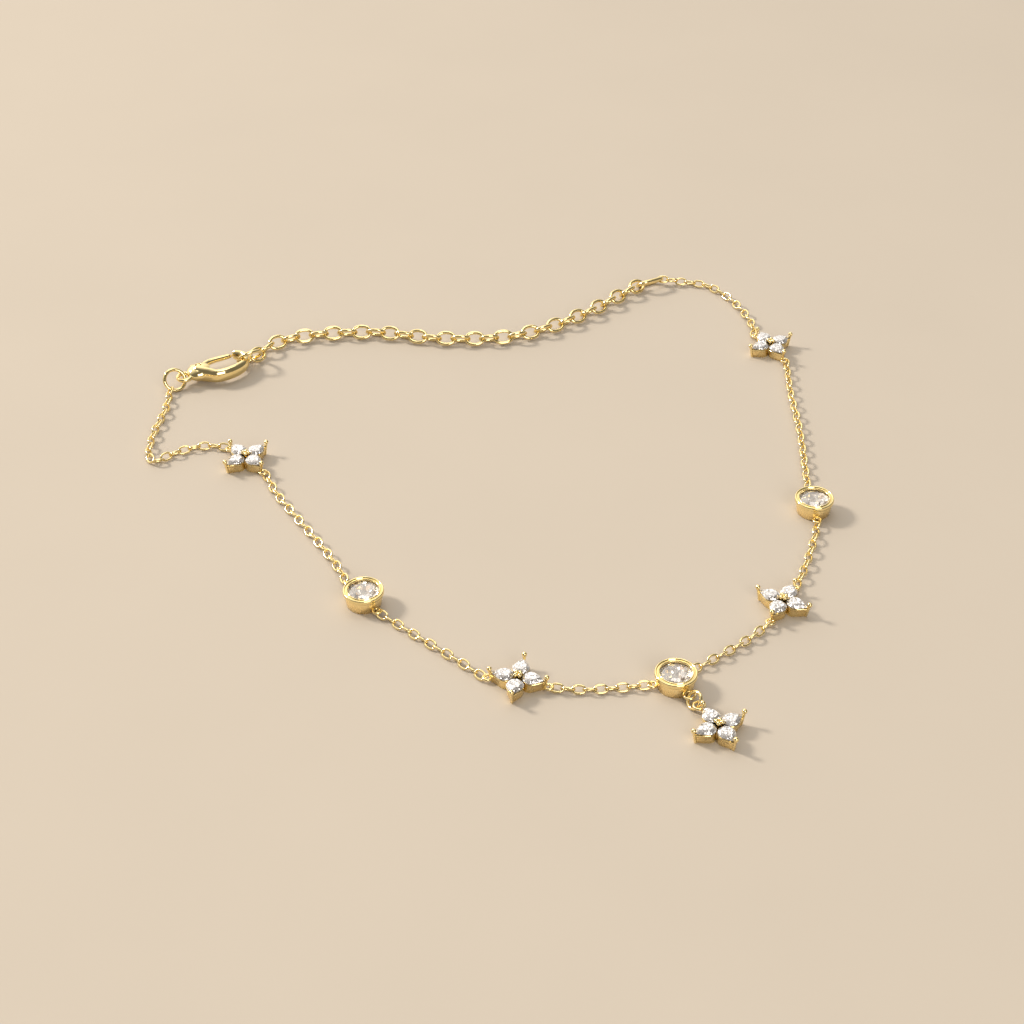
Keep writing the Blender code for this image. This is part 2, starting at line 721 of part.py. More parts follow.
def lever_slot():
    """The cutter for the slot in the bulb that the lever's root turns in."""
    clear = LEVER_ROOT_RADIUS + FIT_GAP * 2
    length = LEVER_REACH - PIVOT_X
    width = CLASP_SPINE * 2
    middle = Vector((PIVOT_X - clear + length / 2, PIVOT_Y - clear + width / 2, 0.0))
    size = Matrix.Diagonal((length, width, LEVER_THICKNESS + FIT_GAP * 2, 1.0))
    shape = bmesh.new()
    bmesh.ops.create_cube(shape, size=1.0, matrix=Matrix.Translation(middle) @ size)
    return object_of("clasp_slot", shape)


def clasp_body():
    """The clasp's claw: a bulb with a slot for the lever, a curved spine and an eye."""
    half = CLASP_WIRE / 2
    route = bar_route(CLAW_SECTIONS, Vector((PIVOT_X, 0.0)), CLAW_NOSE - PIVOT_X, -CLASP_SPINE, half)
    tip_x = LEVER_REACH + FIT_GAP + CLAW_TIP_SETBACK
    route.append(Vector((tip_x, LEVER_OFFSET - CLAW_TIP_DROP, half * CLAW_TIP_THICK)))
    spine = swept("clasp_spine", smooth(route, 2), CLASP_THICKNESS / CLASP_WIRE)
    bulb = ball("clasp_bulb", 0.5, (0.0, 0.0, 0.0), RING_SIDES)
    bulb.data.transform(
        Matrix.Translation((PIVOT_X, CLASP_BULB_OFFSET, 0.0))
        @ Matrix.Diagonal((CLASP_BULB_LENGTH, CLASP_BULB_WIDTH, CLASP_BULB_THICKNESS, 1.0))
    )
    eye = round_ring("clasp_eye", EYE_RADIUS, EYE_WIRE, Matrix.Identity(4))
    body = combined(bulb, [spine, eye])
    return combined(body, [lever_slot(), pivot_hole("clasp_hole")], "DIFFERENCE")


def clasp_lever():
    """The clasp's gate: a round root on the pin, an arm to the claw's tip and a thumb nub."""
    pivot = Vector((PIVOT_X, PIVOT_Y, 0.0))
    root = drum("clasp_lever", LEVER_ROOT_RADIUS, LEVER_THICKNESS, pivot, CUP_SIDES)
    depth = LEVER_OFFSET - PIVOT_Y
    route = bar_route(LEVER_SECTIONS, pivot, LEVER_REACH - PIVOT_X, depth, LEVER_WIDTH / 2)
    arm = swept("lever_arm", smooth(route, 2), (LEVER_THICKNESS - SOLDER) / LEVER_WIDTH)
    nub_middle = pivot + Vector((-LEVER_NUB_BACK, LEVER_NUB_OUT, 0.0))
    nub = ball("lever_nub", LEVER_NUB_RADIUS, nub_middle, PRONG_SIDES)
    neck_foot = pivot.lerp(nub_middle, PIN_RADIUS / LEVER_NUB_OUT)
    neck = swept(
        "lever_neck", [(point.x, point.y, LEVER_NECK_WIDTH / 2) for point in (neck_foot, nub_middle)], 1.0
    )
    return combined(combined(root, [arm, neck, nub]), [pivot_hole("lever_hole")], "DIFFERENCE")


def mesh_of(piece):
    """The piece's mesh, for copies to share, and the piece removed."""
    mesh = piece.data
    bpy.data.objects.remove(piece)
    return mesh


@dataclass
class Anklet:
    """The collection that the finished pieces go in, and the materials that they are made of."""

    pieces: bpy.types.Collection
    gold: bpy.types.Material
    crystal: bpy.types.Material

    def keep(self, piece, name, material, placement=None):
        """Names a finished piece, gives it its material and its place, and files it."""
        piece.name = name
        piece.data.materials.clear()
        piece.data.materials.append(material)
        if placement is not None:
            piece.matrix_world = placement @ piece.matrix_world
        if piece.type == "MESH":
            piece.data.shade_smooth()
            piece.data.set_sharp_from_angle(angle=math.radians(SHARP_ANGLE))
        for owner in list(piece.users_collection):
            owner.objects.unlink(piece)
        self.pieces.objects.link(piece)

    def stamp(self, mesh, name, material, placement):
        """Files another piece that shares the mesh."""
        self.keep(bpy.data.objects.new(name, mesh), name, material, placement)

    def stamp_pears(self, mesh, name, placement):
        """Files a flower's pear stones, one on each petal."""
        for petal in range(PETALS):
            turn = turned_to(360.0 * petal / PETALS)
            self.stamp(mesh, f"{name}_stone_{petal + 1}", self.crystal, placement @ turn)


def add_flowers(anklet, pear_mesh):
    """The four flower charms on the chain."""
    setting = mesh_of(flower_setting("flower", (0.0, 180.0), ()))
    for charm in FLOWERS:
        placement = turned_to(charm.leave, charm.place())
        anklet.stamp(setting, f"{charm.name}_setting", anklet.gold, placement)
        anklet.stamp_pears(pear_mesh, charm.name, placement)


def add_bezels(anklet):
    """The three round stones in their cups, the second with a loop for the drop."""
    stone = mesh_of(round_stone())
    for charm in BEZELS:
        drops = (DROP_HEADING,) if charm is BEZEL_2 else ()
        cup = bezel_setting(charm.name, (charm.arrive, charm.leave), drops)
        anklet.keep(cup, f"{charm.name}_setting", anklet.gold, turned_to(0.0, charm.place()))
        anklet.stamp(stone, f"{charm.name}_stone", anklet.crystal, turned_to(charm.leave, charm.place()))


def add_drop(anklet, pear_mesh):
    """The flower that hangs from the second bezel, and the ring between them."""
    away = heading(DROP_HEADING)
    ring_middle = BEZEL_2.place() + away * (BEZEL_DROP_ORBIT + DROP_RING_RADIUS)
    drop_middle = ring_middle + away * (DROP_RING_RADIUS + DROP_LOOP_ORBIT)
    ring_middle.z = DROP_HEIGHT
    ring_place = ring_frame(ring_middle, DROP_HEADING, DROP_RING_ROLL)
    ring = round_ring("drop_ring", DROP_RING_RADIUS, DROP_RING_WIRE, ring_place)
    anklet.keep(ring, "drop_ring", anklet.gold)
    placement = turned_to(DROP_HEADING, drop_middle)
    anklet.keep(flower_setting("drop", (), (180.0,)), "drop_setting", anklet.gold, placement)
    anklet.stamp_pears(pear_mesh, "drop", placement)


def add_clasp(anklet):
    """The clasp with its lever and pin, and its two rings.

    Returns where the fine chain leaves the tail ring, and where the extender holds the end ring.
    """
    eye = Vector((CLASP_X, CLASP_Y, CLASP_HEIGHT))
    placement = turned_to(CLASP_HEADING, eye)
    pivot = Matrix.Translation((PIVOT_X, PIVOT_Y, 0.0))
    anklet.keep(clasp_body(), "clasp_body", anklet.gold, placement)
    lever = clasp_lever()
    lever.data.transform(pivot.inverted())
    anklet.keep(lever, "clasp_lever", anklet.gold, placement @ pivot)
    pin = drum("clasp_pin", PIN_RADIUS, CLASP_THICKNESS, (0.0, 0.0, 0.0), LINK_SIDES)
    anklet.keep(pin, "clasp_pin", anklet.gold, placement @ pivot)

    along = heading(CLASP_HEADING)
    tail_place = ring_frame(eye - along * TAIL_RING_RADIUS, CLASP_HEADING, RING_ROLL)
    tail_ring = round_ring("clasp_tail_ring", TAIL_RING_RADIUS, RING_WIRE, tail_place)
    anklet.keep(tail_ring, "clasp_tail_ring", anklet.gold)
    end_middle = eye + along * (CLAW_INSIDE - RING_WIRE / 2 - FIT_GAP + END_RING_RADIUS)
    end_middle.z = END_RING_HEIGHT
    end_place = ring_frame(end_middle, CLASP_HEADING, -RING_ROLL)
    end_ring = round_ring("clasp_end_ring", END_RING_RADIUS, RING_WIRE, end_place)
    anklet.keep(end_ring, "clasp_end_ring", anklet.gold)

    tail_hook = tail_place @ (heading(TAIL_HOOK_ANGLE) * TAIL_RING_RADIUS)
    tail_hook += heading(CLASP_HEADING + TAIL_HOOK_ANGLE) * (RING_WIRE / 2 + CHAIN_GAP)
    tail_hook.z = CHAIN_HEIGHT
    return tail_hook, end_place @ (heading(END_HOOK_ANGLE) * END_RING_RADIUS)


def add_connector(anklet):
    """The oval ring between the fine chain and the extender.

    Returns where the fine chain ends, and where the extender holds the ring.
    """
    middle = Vector((CONNECTOR_X, CONNECTOR_Y, CONNECTOR_HEIGHT))
    along = heading(CONNECTOR_HEADING)
    placement = ring_frame(middle, CONNECTOR_HEADING, CONNECTOR_ROLL)
    ring = link(
        "connector_ring", CONNECTOR_LENGTH, CONNECTOR_WIDTH, CONNECTOR_WIRE, placement, RING_SIDES
    )
    anklet.keep(ring, "connector_ring", anklet.gold)
    chain_end = middle - along * (CONNECTOR_LENGTH / 2 + CHAIN_GAP)
    chain_end.z = CHAIN_HEIGHT
    return chain_end, middle + along * (CONNECTOR_LENGTH - CONNECTOR_WIRE) / 2


def add_fine_chain(anklet, first, last):
    """The runs of fine chain, from the clasp past each charm to the connector."""
    starts = [first, *(loop_end(charm, charm.leave) for charm in CHARMS)]
    ends = [*(loop_end(charm, charm.arrive) for charm in CHARMS), last]
    for number, (start, points, end) in enumerate(zip(starts, FINE_RUNS, ends), 1):
        name = f"chain_{number}"
        anklet.keep(chain_run(name, start, points, end), name, anklet.gold)


def main():
    """Clears the scene and builds the anklet: its charms, its clasp, then the chains between."""
    for old in list(bpy.data.objects):
        bpy.data.objects.remove(old)
    pieces = bpy.data.collections.new("charm_anklet")
    bpy.context.scene.collection.children.link(pieces)
    gold = make_material("gold", (0.83, 0.62, 0.27), 0.18, 1.0)
    crystal = make_material("crystal", (0.96, 0.96, 0.98), 0.02, 0.0, 0.9, 2.15)
    anklet = Anklet(pieces, gold, crystal)
    pear_mesh = mesh_of(pear_stone())
    add_flowers(anklet, pear_mesh)
    add_bezels(anklet)
    add_drop(anklet, pear_mesh)
    tail_hook, end_hook = add_clasp(anklet)
    chain_end, connector_hook = add_connector(anklet)
    add_fine_chain(anklet, tail_hook, chain_end)
    middle_line = hooked(connector_hook, RUN_EXTENDER, end_hook, CONNECTOR_WIRE, RING_WIRE)
    anklet.keep(extender("extender_chain", middle_line), "extender_chain", gold)


main()
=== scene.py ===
"""Charm anklet: the visual model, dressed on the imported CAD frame.

Metres, +Z up, in the CAD's own frame. The anklet lies on the plane z = 0.
"""

import logging
import math
from dataclasses import dataclass
from enum import Enum
from typing import Iterable, NamedTuple, Sequence

import bmesh
import bpy
from mathutils import Matrix, Vector


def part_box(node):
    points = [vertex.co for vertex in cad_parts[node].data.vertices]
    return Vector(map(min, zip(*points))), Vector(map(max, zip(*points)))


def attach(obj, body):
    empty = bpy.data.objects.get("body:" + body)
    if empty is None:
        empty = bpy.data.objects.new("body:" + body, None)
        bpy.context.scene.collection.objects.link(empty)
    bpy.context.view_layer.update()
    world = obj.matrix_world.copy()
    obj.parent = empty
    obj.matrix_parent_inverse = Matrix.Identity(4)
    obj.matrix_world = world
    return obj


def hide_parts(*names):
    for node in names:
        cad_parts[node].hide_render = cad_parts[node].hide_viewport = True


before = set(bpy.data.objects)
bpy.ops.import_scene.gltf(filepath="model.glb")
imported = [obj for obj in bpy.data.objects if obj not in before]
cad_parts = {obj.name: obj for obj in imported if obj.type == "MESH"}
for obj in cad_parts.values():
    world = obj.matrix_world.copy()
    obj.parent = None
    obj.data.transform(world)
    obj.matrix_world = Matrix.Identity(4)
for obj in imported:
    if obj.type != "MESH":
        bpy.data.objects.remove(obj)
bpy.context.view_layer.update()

LOG = logging.getLogger("charm_anklet")
Place = Matrix
Point = tuple[float, float]
Colour = tuple[float, float, float]
Piece = bpy.types.Object
Material = bpy.types.Material
Node = bpy.types.Node
Socket = bpy.types.NodeSocket


class Body(Enum):
    """The CAD bodies that a piece can ride on."""

    ANKLET = "anklet"
    LEVER = "lever"


class Slot(Enum):
    """The material slots."""

    GOLD = "gold"
    CRYSTAL = "crystal"


class End(Enum):
    """The end of a charm where the chain arrives, or where it leaves."""

    ARRIVES = 0
    LEAVES = 1


class Edge(Enum):
    """The edges of a bezel's section that its fine points are measured from."""

    LIP = "lip"
    RIM = "rim"
    COLLAR = "collar"
    NECK = "neck"
    FOOT = "foot"


class Turn(NamedTuple):
    """A point of a bezel's section, in hundredths of a millimetre out and up from an edge."""

    edge: Edge
    out: float
    up: float


class Outline(NamedTuple):
    """A level outline of a flower's gallery: its share of the whole, how far in, and how high."""

    share: float
    inset: float
    height: float


class Section(NamedTuple):
    """A section of a bent bar: its shares of the bend's length, its depth and the bar's width."""

    along: float
    across: float
    thick: float


class Lamp(NamedTuple):
    """A soft square light: its name, place, side in metres, watts and linear colour."""

    name: str
    place: tuple[float, float, float]
    size: float
    power: float
    colour: Colour


TENTH = 0.0001
HUNDREDTH = 0.00001
FIT_GAP = 0.0001
WIRE_CORNERS = 14
BAR_CORNERS = 24
BAR_END_TURNS = (25.0, 50.0, 72.0)
PRONG_TURNS = (-48.0, -25.0, 0.0, 25.0, 50.0, 72.0)
FACET_FLATNESS = 0.8
STAR_FLATNESS = 0.94
HALF_REACH = 0.26
HALF_DEPTH = 0.92
CAST_GRAIN = 0.00004
CAST_SOFTNESS = 3
DROP_HEADING = -61.5
CUP_TURNS = (
    Turn(Edge.LIP, 1, -6),
    Turn(Edge.LIP, 4, -1),
    Turn(Edge.LIP, 9, 0),
    Turn(Edge.LIP, 14, -3),
    Turn(Edge.LIP, 18, -12),
    Turn(Edge.RIM, -24, -13),
    Turn(Edge.RIM, -18, -3),
    Turn(Edge.RIM, -12, 0),
    Turn(Edge.RIM, -5, -2),
    Turn(Edge.RIM, 0, -9),
    Turn(Edge.COLLAR, 0, 10),
    Turn(Edge.COLLAR, -3, 3),
    Turn(Edge.COLLAR, -8, 0),
    Turn(Edge.NECK, -4, 2),
    Turn(Edge.NECK, -4, -5),
    Turn(Edge.NECK, -1, -12),
    Turn(Edge.FOOT, 3, 6),
    Turn(Edge.FOOT, -3, 0),
)
CLAW_SECTIONS = (
    Section(-0.07, 0.00, 1.20),
    Section(0.13, 0.55, 1.10),
    Section(0.26, 0.92, 1.00),
    Section(0.55, 0.98, 1.00),
    Section(0.84, 0.70, 0.96),
    Section(1.00, 0.14, 0.86),
    Section(1.00, -0.38, 0.86),
)
LEVER_SECTIONS = (
    Section(0.04, 0.26, 1.00),
    Section(0.26, 0.81, 1.00),
    Section(0.50, 1.05, 0.92),
    Section(0.93, 1.00, 0.80),
    Section(1.00, 0.97, 0.66),
)
# The points that each run passes between, as (x, y) in tenths of a millimetre
FINE_RUNS = (
    ((-385, 142), (-392, 92), (-392, 50), (-382, 35), (-366, 48), (-342, 62), (-322, 66)),
    ((-234, -30), (-206, -77), (-174, -130), (-154, -167)),
    ((-85, -261), (-54, -289), (-20, -319)),
    ((104, -362), (138, -360)),
    ((246, -312), (277, -287)),
    ((353, -164), (366, -124)),
    ((375, 32), (377, 102), (375, 172), (376, 214)),
    ((342, 340), (332, 374), (314, 410), (284, 438)),
)
EXTENDER_RUN = (
    (172, 400), (132, 362), (80, 324), (20, 300), (-60, 298), (-140, 312), (-218, 306), (-264, 287)
)


class Signal:
    """A number socket of a node tree, so that sums of sockets read as Python."""

    def __init__(self, graph: "Graph", socket: Socket) -> None:
        """Wraps the socket of a node in that graph."""
        self.graph = graph
        self.socket = socket

    def _math(self, operation: str, first: object, second: object = 0.0) -> "Signal":
        """One Math node, from its operation and its first and second value or link."""
        node = self.graph.add("ShaderNodeMath", {"operation": operation}, {0: first, 1: second})
        return Signal(self.graph, node.outputs[0])

    def __add__(self, other: object) -> "Signal":
        """This plus other."""
        return self._math("ADD", self, other)

    __radd__ = __add__

    def __sub__(self, other: object) -> "Signal":
        """This less other."""
        return self._math("SUBTRACT", self, other)

    def __rsub__(self, other: object) -> "Signal":
        """Other less this."""
        return self._math("SUBTRACT", other, self)

    def __mul__(self, other: object) -> "Signal":
        """This times other."""
        return self._math("MULTIPLY", self, other)

    __rmul__ = __mul__

    def __truediv__(self, other: object) -> "Signal":
        """This over other."""
        return self._math("DIVIDE", self, other)

    def __mod__(self, other: object) -> "Signal":
        """The remainder of this over other."""
        return self._math("FLOORED_MODULO", self, other)

    def sign(self) -> "Signal":
        """Minus one, nought or one."""
        return self._math("SIGN", self)

    def clamped(self) -> "Signal":
        """This, held between nought and one."""
        return self._math("MINIMUM", self._math("MAXIMUM", self, 0.0), 1.0)


class Graph:
    """A node tree under construction."""

    def __init__(self, tree: bpy.types.NodeTree) -> None:
        """Starts from the tree with its nodes cleared."""
        self.tree = tree
        tree.nodes.clear()

    def add(self, kind: str, settings: dict | None = None, values: dict | None = None) -> Node:
        """A node of any type.

        Args:
            kind: The node's type.
            settings: Its own properties, which are set first.
            values: Values, signals or sockets for its inputs, by name or number.

        Returns:
            The node.
        """
        node = self.tree.nodes.new(kind)
        for name, setting in (settings or {}).items():
            setattr(node, name, setting)
        for key, value in (values or {}).items():
            self.feed(node.inputs[key], value)
        return node

    def feed(self, target: Socket, value: object) -> None:
        """Sets an input to a value, or links a signal or a socket to it.

        Args:
            target: The input.
            value: A value, a signal or a socket.
        """
        if isinstance(value, Signal):
            self.tree.links.new(value.socket, target)
        elif isinstance(value, Socket):
            self.tree.links.new(value, target)
        else:
            target.default_value = value

    def signal(self, node: Node, output: int | str = 0) -> Signal:
        """One output of a node, as a signal."""
        return Signal(self, node.outputs[output])

    def coords(self) -> Socket:
        """The piece's own coordinates."""
        return self.add("ShaderNodeTexCoord").outputs["Object"]

    def vectors(self, operation: str, first: object, second: object = (0, 0, 0), scale: float = 1) -> Socket:
        """The result of one Vector Math node, from its operation, two vectors and its number."""
        values = {0: first, 1: second, 3: scale}
        return self.add("ShaderNodeVectorMath", {"operation": operation}, values).outputs[0]

    def noise(self, coords: object, scale: float, detail: float = 2.0) -> Signal:
        """Noise over the piece, from 0 to 1, by its waves per metre and its finer octaves."""
        node = self.add("ShaderNodeTexNoise", {}, {"Vector": coords, "Scale": scale, "Detail": detail})
        return self.signal(node, "Fac")

    def mixed(self, factor: object, first: Colour, second: Colour) -> Socket:
        """A colour between two linear ones, by the second one's share."""
        values = {0: factor, 6: (*first, 1.0), 7: (*second, 1.0)}
        return self.add("ShaderNodeMix", {"data_type": "RGBA"}, values).outputs[2]


@dataclass(frozen=True)
class Finish:
    """The finish of a surface. Each kind gives the inputs of its shader."""

    name: str

    def inputs(self, graph: Graph) -> dict[str, object]:
        """The shader's values and links, by name."""
        raise NotImplementedError

    def make(self) -> Material:
        """Builds the material.

        Returns:
            The material.
        """
        material = bpy.data.materials.new(self.name)
        material.use_nodes = True
        graph = Graph(material.node_tree)
        shader = graph.add("ShaderNodeBsdfPrincipled", {}, self.inputs(graph))
        graph.add("ShaderNodeOutputMaterial", {}, {"Surface": shader.outputs[0]})
        return material


@dataclass(frozen=True)
class GoldFinish(Finish):
    """Gold plate: a bright tint with a deeper one in it, an uneven polish and a fine cast grain."""

    bright: Colour = (0.99, 0.83, 0.45)
    deep: Colour = (0.91, 0.72, 0.32)
    roughness: float = 0.07
    unevenness: float = 0.12
    tone_waves: float = 900.0
    grain_waves: float = 4200.0
    grain_height: float = 0.000004
    polished_share: float = 0.4

    def inputs(self, graph: Graph) -> dict[str, object]:
        """The shader's values and links, by name.

        Args:
            graph: The tree under construction.

        Returns:
            The inputs.
        """
        coords = graph.coords()
        tone = graph.noise(coords, self.tone_waves)
        grain = graph.noise(coords, self.grain_waves, detail=3.0)
        relief = {"Strength": 1.0, "Distance": self.grain_height, "Height": grain}
        return {
            "Base Color": graph.mixed(tone, self.bright, self.deep),
            "Metallic": 1.0,
            "Roughness": (grain - self.polished_share).clamped() * self.unevenness + self.roughness,
            "Normal": graph.add("ShaderNodeBump", {}, relief).outputs["Normal"],
        }


@dataclass(frozen=True)
class StoneFinish(Finish):
    """Cut stone as a mosaic of small inner facets, each of which glints by itself; the cells that take the
    shade colour are painted dark reflections.
    """

    light: Colour = (0.93, 0.91, 0.89)
    # The shade colour is painted: dark reflections of dim surroundings, taken by a random share of the
    # cells.
    shade: Colour = (0.20, 0.17, 0.15)
    facets: float = 8000.0
    tilt: float = 0.6
    mirror: float = 0.6
    polish: float = 0.08
    coat: float = 1.0
    coat_polish: float = 0.02
    coat_index: float = 1.9

    def inputs(self, graph: Graph) -> dict[str, object]:
        """The shader's values and links, by name.

        Args:
            graph: The tree under construction.

        Returns:
            The inputs.
        """
        values = {"Vector": graph.coords(), "Scale": self.facets}
        cells = graph.add("ShaderNodeTexVoronoi", {}, values)
        drawn = cells.outputs["Color"]
        centred = graph.vectors("SUBTRACT", drawn, (0.5, 0.5, 0.5))
        tilted = graph.vectors("SCALE", centred, scale=self.tilt)
        facing = graph.add("ShaderNodeNewGeometry").outputs["Normal"]
        painted_reflection_chance = graph.signal(graph.add("ShaderNodeSeparateColor", {}, {0: drawn}), "Green")
        return {
            # Painted dark reflections: a random share of the cells take the shade colour in place of the
            # light one.
            "Base Color": graph.mixed(painted_reflection_chance * painted_reflection_chance, self.light, self.shade),
            "Metallic": self.mirror,
            "Roughness": self.polish,
            "Normal": graph.vectors("NORMALIZE", graph.vectors("ADD", facing, tilted)),
            "Coat Weight": self.coat,
            "Coat Roughness": self.coat_polish,
            "Coat IOR": self.coat_index,
        }


@dataclass(frozen=True)
class WindowFinish(Finish):
    """The clear top of a cut stone: it mirrors a part of the light and lets the rest through."""

    tint: Colour = (1.0, 0.99, 0.98)
    gleam: float = 0.22

    def inputs(self, graph: Graph) -> dict[str, object]:
        """The shader's values, by name."""
        return {"Base Color": (*self.tint, 1.0), "Metallic": 1.0, "Roughness": 0.0, "Alpha": self.gleam}


@dataclass(frozen=True)
class PaperFinish(Finish):
    """Plain matt paper, a little uneven in tone."""

    colour: Colour = (0.50, 0.44, 0.365)
    darker: float = 0.95
    waves: float = 40.0

    def inputs(self, graph: Graph) -> dict[str, object]:
        """The shader's values and links, by name.

        Args:
            graph: The tree under construction.

        Returns:
            The inputs.
        """
        shade = tuple(channel * self.darker for channel in self.colour)
        tone = graph.noise(graph.coords(), self.waves, detail=3.0)
        return {"Base Color": graph.mixed(tone, self.colour, shade), "Roughness": 0.9}


class Finishes:
    """The anklet's materials."""

    def __init__(self) -> None:
        """Makes each of them once."""
        self.polished = GoldFinish("gold_polished").make()
        self.cast = GoldFinish(
            "gold_cast",
            bright=(1.0, 0.84, 0.48),
            deep=(1.0, 0.75, 0.34),
            roughness=0.27,
            grain_waves=3400.0,
            grain_height=0.00007,
        ).make()
        self.pear = StoneFinish("crystal_pear").make()
        self.crown = WindowFinish("crystal_crown").make()
        self.pavilion = StoneFinish(
            "crystal_pavilion",
            light=(1.0, 0.96, 0.90),
            # Painted reflection: the warm brown shade colour stands for the gold cup and the floor mirrored
            # in the stone.
            shade=(0.42, 0.30, 0.20),
            facets=2600.0,
            tilt=0.7,
            mirror=0.75,
            coat=0.0,
        ).make()


def level(degrees: float) -> Vector:
    """The level unit vector in that direction."""
    return Vector((math.cos(math.radians(degrees)), math.sin(math.radians(degrees)), 0.0))


def over(point: Iterable[float], height: float) -> Vector:
    """The point at that height over a point of the floor, given in tenths of a millimetre."""
    x, y = point
    return Vector((x * TENTH, y * TENTH, height))


def upright(height: float) -> Vector:
    """The vector straight up by that height."""
    return Vector((0.0, 0.0, height))


def set_down(degrees: float, place: Iterable[float] = (0.0, 0.0, 0.0), roll: float = 0.0) -> Place:
    """The placement of a piece turned about the vertical and rolled about its own X, in degrees."""
    turn = Matrix.Rotation(math.radians(degrees), 4, "Z")
    return Matrix.Translation(tuple(place)) @ turn @ Matrix.Rotation(math.radians(roll), 4, "X")


def circle(radius: float, sides: int, height: float = 0.0) -> list[Vector]:
    """The corners of a level polygon, by their distance from the axis."""
    return [level(360.0 * k / sides) * radius + upright(height) for k in range(sides)]


def shown(name: str, data: bpy.types.ID) -> Piece:
    """A new object in the scene, at the origin, from that mesh, light or camera.

    Args:
        name: The object's name.
        data: What it shows.

    Returns:
        The object.
    """
    made = bpy.data.objects.new(name, data)
    bpy.context.scene.collection.objects.link(made)
    return made


def mesh_now(made: Piece) -> bpy.types.Mesh:
    """The object's mesh as its modifiers leave it.

    Args:
        made: The object.

    Returns:
        A new mesh.
    """
    bpy.context.view_layer.update()
    graph = bpy.context.evaluated_depsgraph_get()
    return bpy.data.meshes.new_from_object(made.evaluated_get(graph))


class Shape:
    """A mesh in the making, from closed shells that each face outwards."""

    def __init__(self) -> None:
        """Starts with no shell."""
        self.mesh = bmesh.new()

    def loft(self, rings: list[list[Vector]], place: Place, poles: tuple | None = None) -> None:
        """A skin over rings of corners.

        Args:
            rings: Rings of equally many corners, in order.
            place: Where the shell goes.
            poles: The points that close the first and last ring. Without them the last ring
                joins the first.
        """
        rows = [[self.mesh.verts.new(place @ corner) for corner in ring] for ring in rings]
        count = len(rows[0])
        faces = []
        pairs = list(zip(rows, rows[1:]))
        if poles is None:
            pairs.append((rows[-1], rows[0]))
        for lower, upper in pairs:
            for k in range(count):
                after = (k + 1) % count
                faces.append(self.mesh.faces.new((lower[k], lower[after], upper[after], upper[k])))
        if poles is not None:
            first = self.mesh.verts.new(place @ poles[0])
            last = self.mesh.verts.new(place @ poles[1])
            for k in range(count):
                after = (k + 1) % count
                faces.append(self.mesh.faces.new((first, rows[0][after], rows[0][k])))
                faces.append(self.mesh.faces.new((last, rows[-1][k], rows[-1][after])))
        bmesh.ops.recalc_face_normals(self.mesh, faces=faces)

    def turned(self, profile: list[Point], sides: int, place: Place) -> None:
        """A turned shell from (radius, height) points, whose first and last lie on the axis."""
        rings = [circle(radius, sides, height) for radius, height in profile[1:-1]]
        self.loft(rings, place, (upright(profile[0][1]), upright(profile[-1][1])))

    def drum(self, radius: float, low: float, high: float, place: Place, sides: int) -> None:
        """A plain cylinder between two heights."""
        self.turned([(0.0, low), (radius, low), (radius, high), (0.0, high)], sides, place)

    def ball(self, radius: float, centre: Vector, sides: int) -> None:
        """A round bead.

        Args:
            radius: Its radius.
            centre: Its middle.
            sides: How many corners its round has.
        """
        rows = sides // 2
        tilts = [math.pi * k / rows for k in range(rows + 1)]
        profile = [(radius * math.sin(tilt), -radius * math.cos(tilt)) for tilt in tilts]
        self.turned(profile, sides, Matrix.Translation(centre))

    def wire_ring(
        self, radius: float, wire: float, place: Place, sides: int = 40, stretch: float = 0.0
    ) -> None:
        """A closed wire ring.

        Args:
            radius: From its middle to the middle of the wire.
            wire: The wire's thickness.
            place: Its placement, with its own X along the stretch.
            sides: How many corners its round has.
            stretch: How far each half is drawn out along X.
        """
        rings = []
        for k in range(sides):
            out = level(360.0 * (k + 0.5) / sides)
            middle = out * radius + Vector((math.copysign(stretch, out.x), 0.0, 0.0))
            section = circle(wire / 2, WIRE_CORNERS)
            rings.append([middle + out * side.x + upright(side.y) for side in section])
        self.loft(rings, place)

    def bar(self, points: list[Vector], radii: list[float], place: Place, flatten: float = 1.0) -> None:
        """A bar along level points with rounded ends, its height its width times flatten.

        Args:
            points: Its middle line.
            radii: Half its width at each point.
            place: Where it goes.
            flatten: Its height over its width.
        """
        spans = [points[1] - points[0]]
        spans += [after - before for before, after in zip(points, points[2:])]
        spans.append(points[-1] - points[-2])
        rings = []
        for middle, radius, span in zip(points, radii, spans):
            side = Vector((-span.y, span.x, 0.0)).normalized()
            section = circle(radius, BAR_CORNERS)
            rings.append([middle + side * corner.x + upright(corner.y * flatten) for corner in section])
        caps = []
        for end, span in ((0, -spans[0].normalized()), (-1, spans[-1].normalized())):
            middle = points[end]
            cap = []
            for turn in BAR_END_TURNS:
                bent = level(turn)
                moved = middle + span * radii[end] * bent.y
                cap.append([moved + (corner - middle) * bent.x for corner in rings[end]])
            caps.append((cap, middle + span * radii[end]))
        (near, near_pole), (far, far_pole) = caps
        self.loft([*reversed(near), *rings, *far], place, (near_pole, far_pole))

    def hull(self, corners: Iterable[Vector], place: Place) -> None:
        """The convex body of those corners.

        Args:
            corners: The corners.
            place: Where the body goes.
        """
        points = [self.mesh.verts.new(place @ corner) for corner in corners]
        made = bmesh.ops.convex_hull(self.mesh, input=points)
        bmesh.ops.delete(self.mesh, geom=made["geom_interior"], context="VERTS")
        faces = [item for item in made["geom"] if isinstance(item, bmesh.types.BMFace)]
        bmesh.ops.dissolve_limit(
            self.mesh,
            angle_limit=math.radians(FACET_FLATNESS),
            verts=list({vertex for face in faces for vertex in face.verts}),
            edges=list({edge for face in faces for edge in face.edges}),
        )
        bmesh.ops.recalc_face_normals(self.mesh, faces=self.mesh.faces)

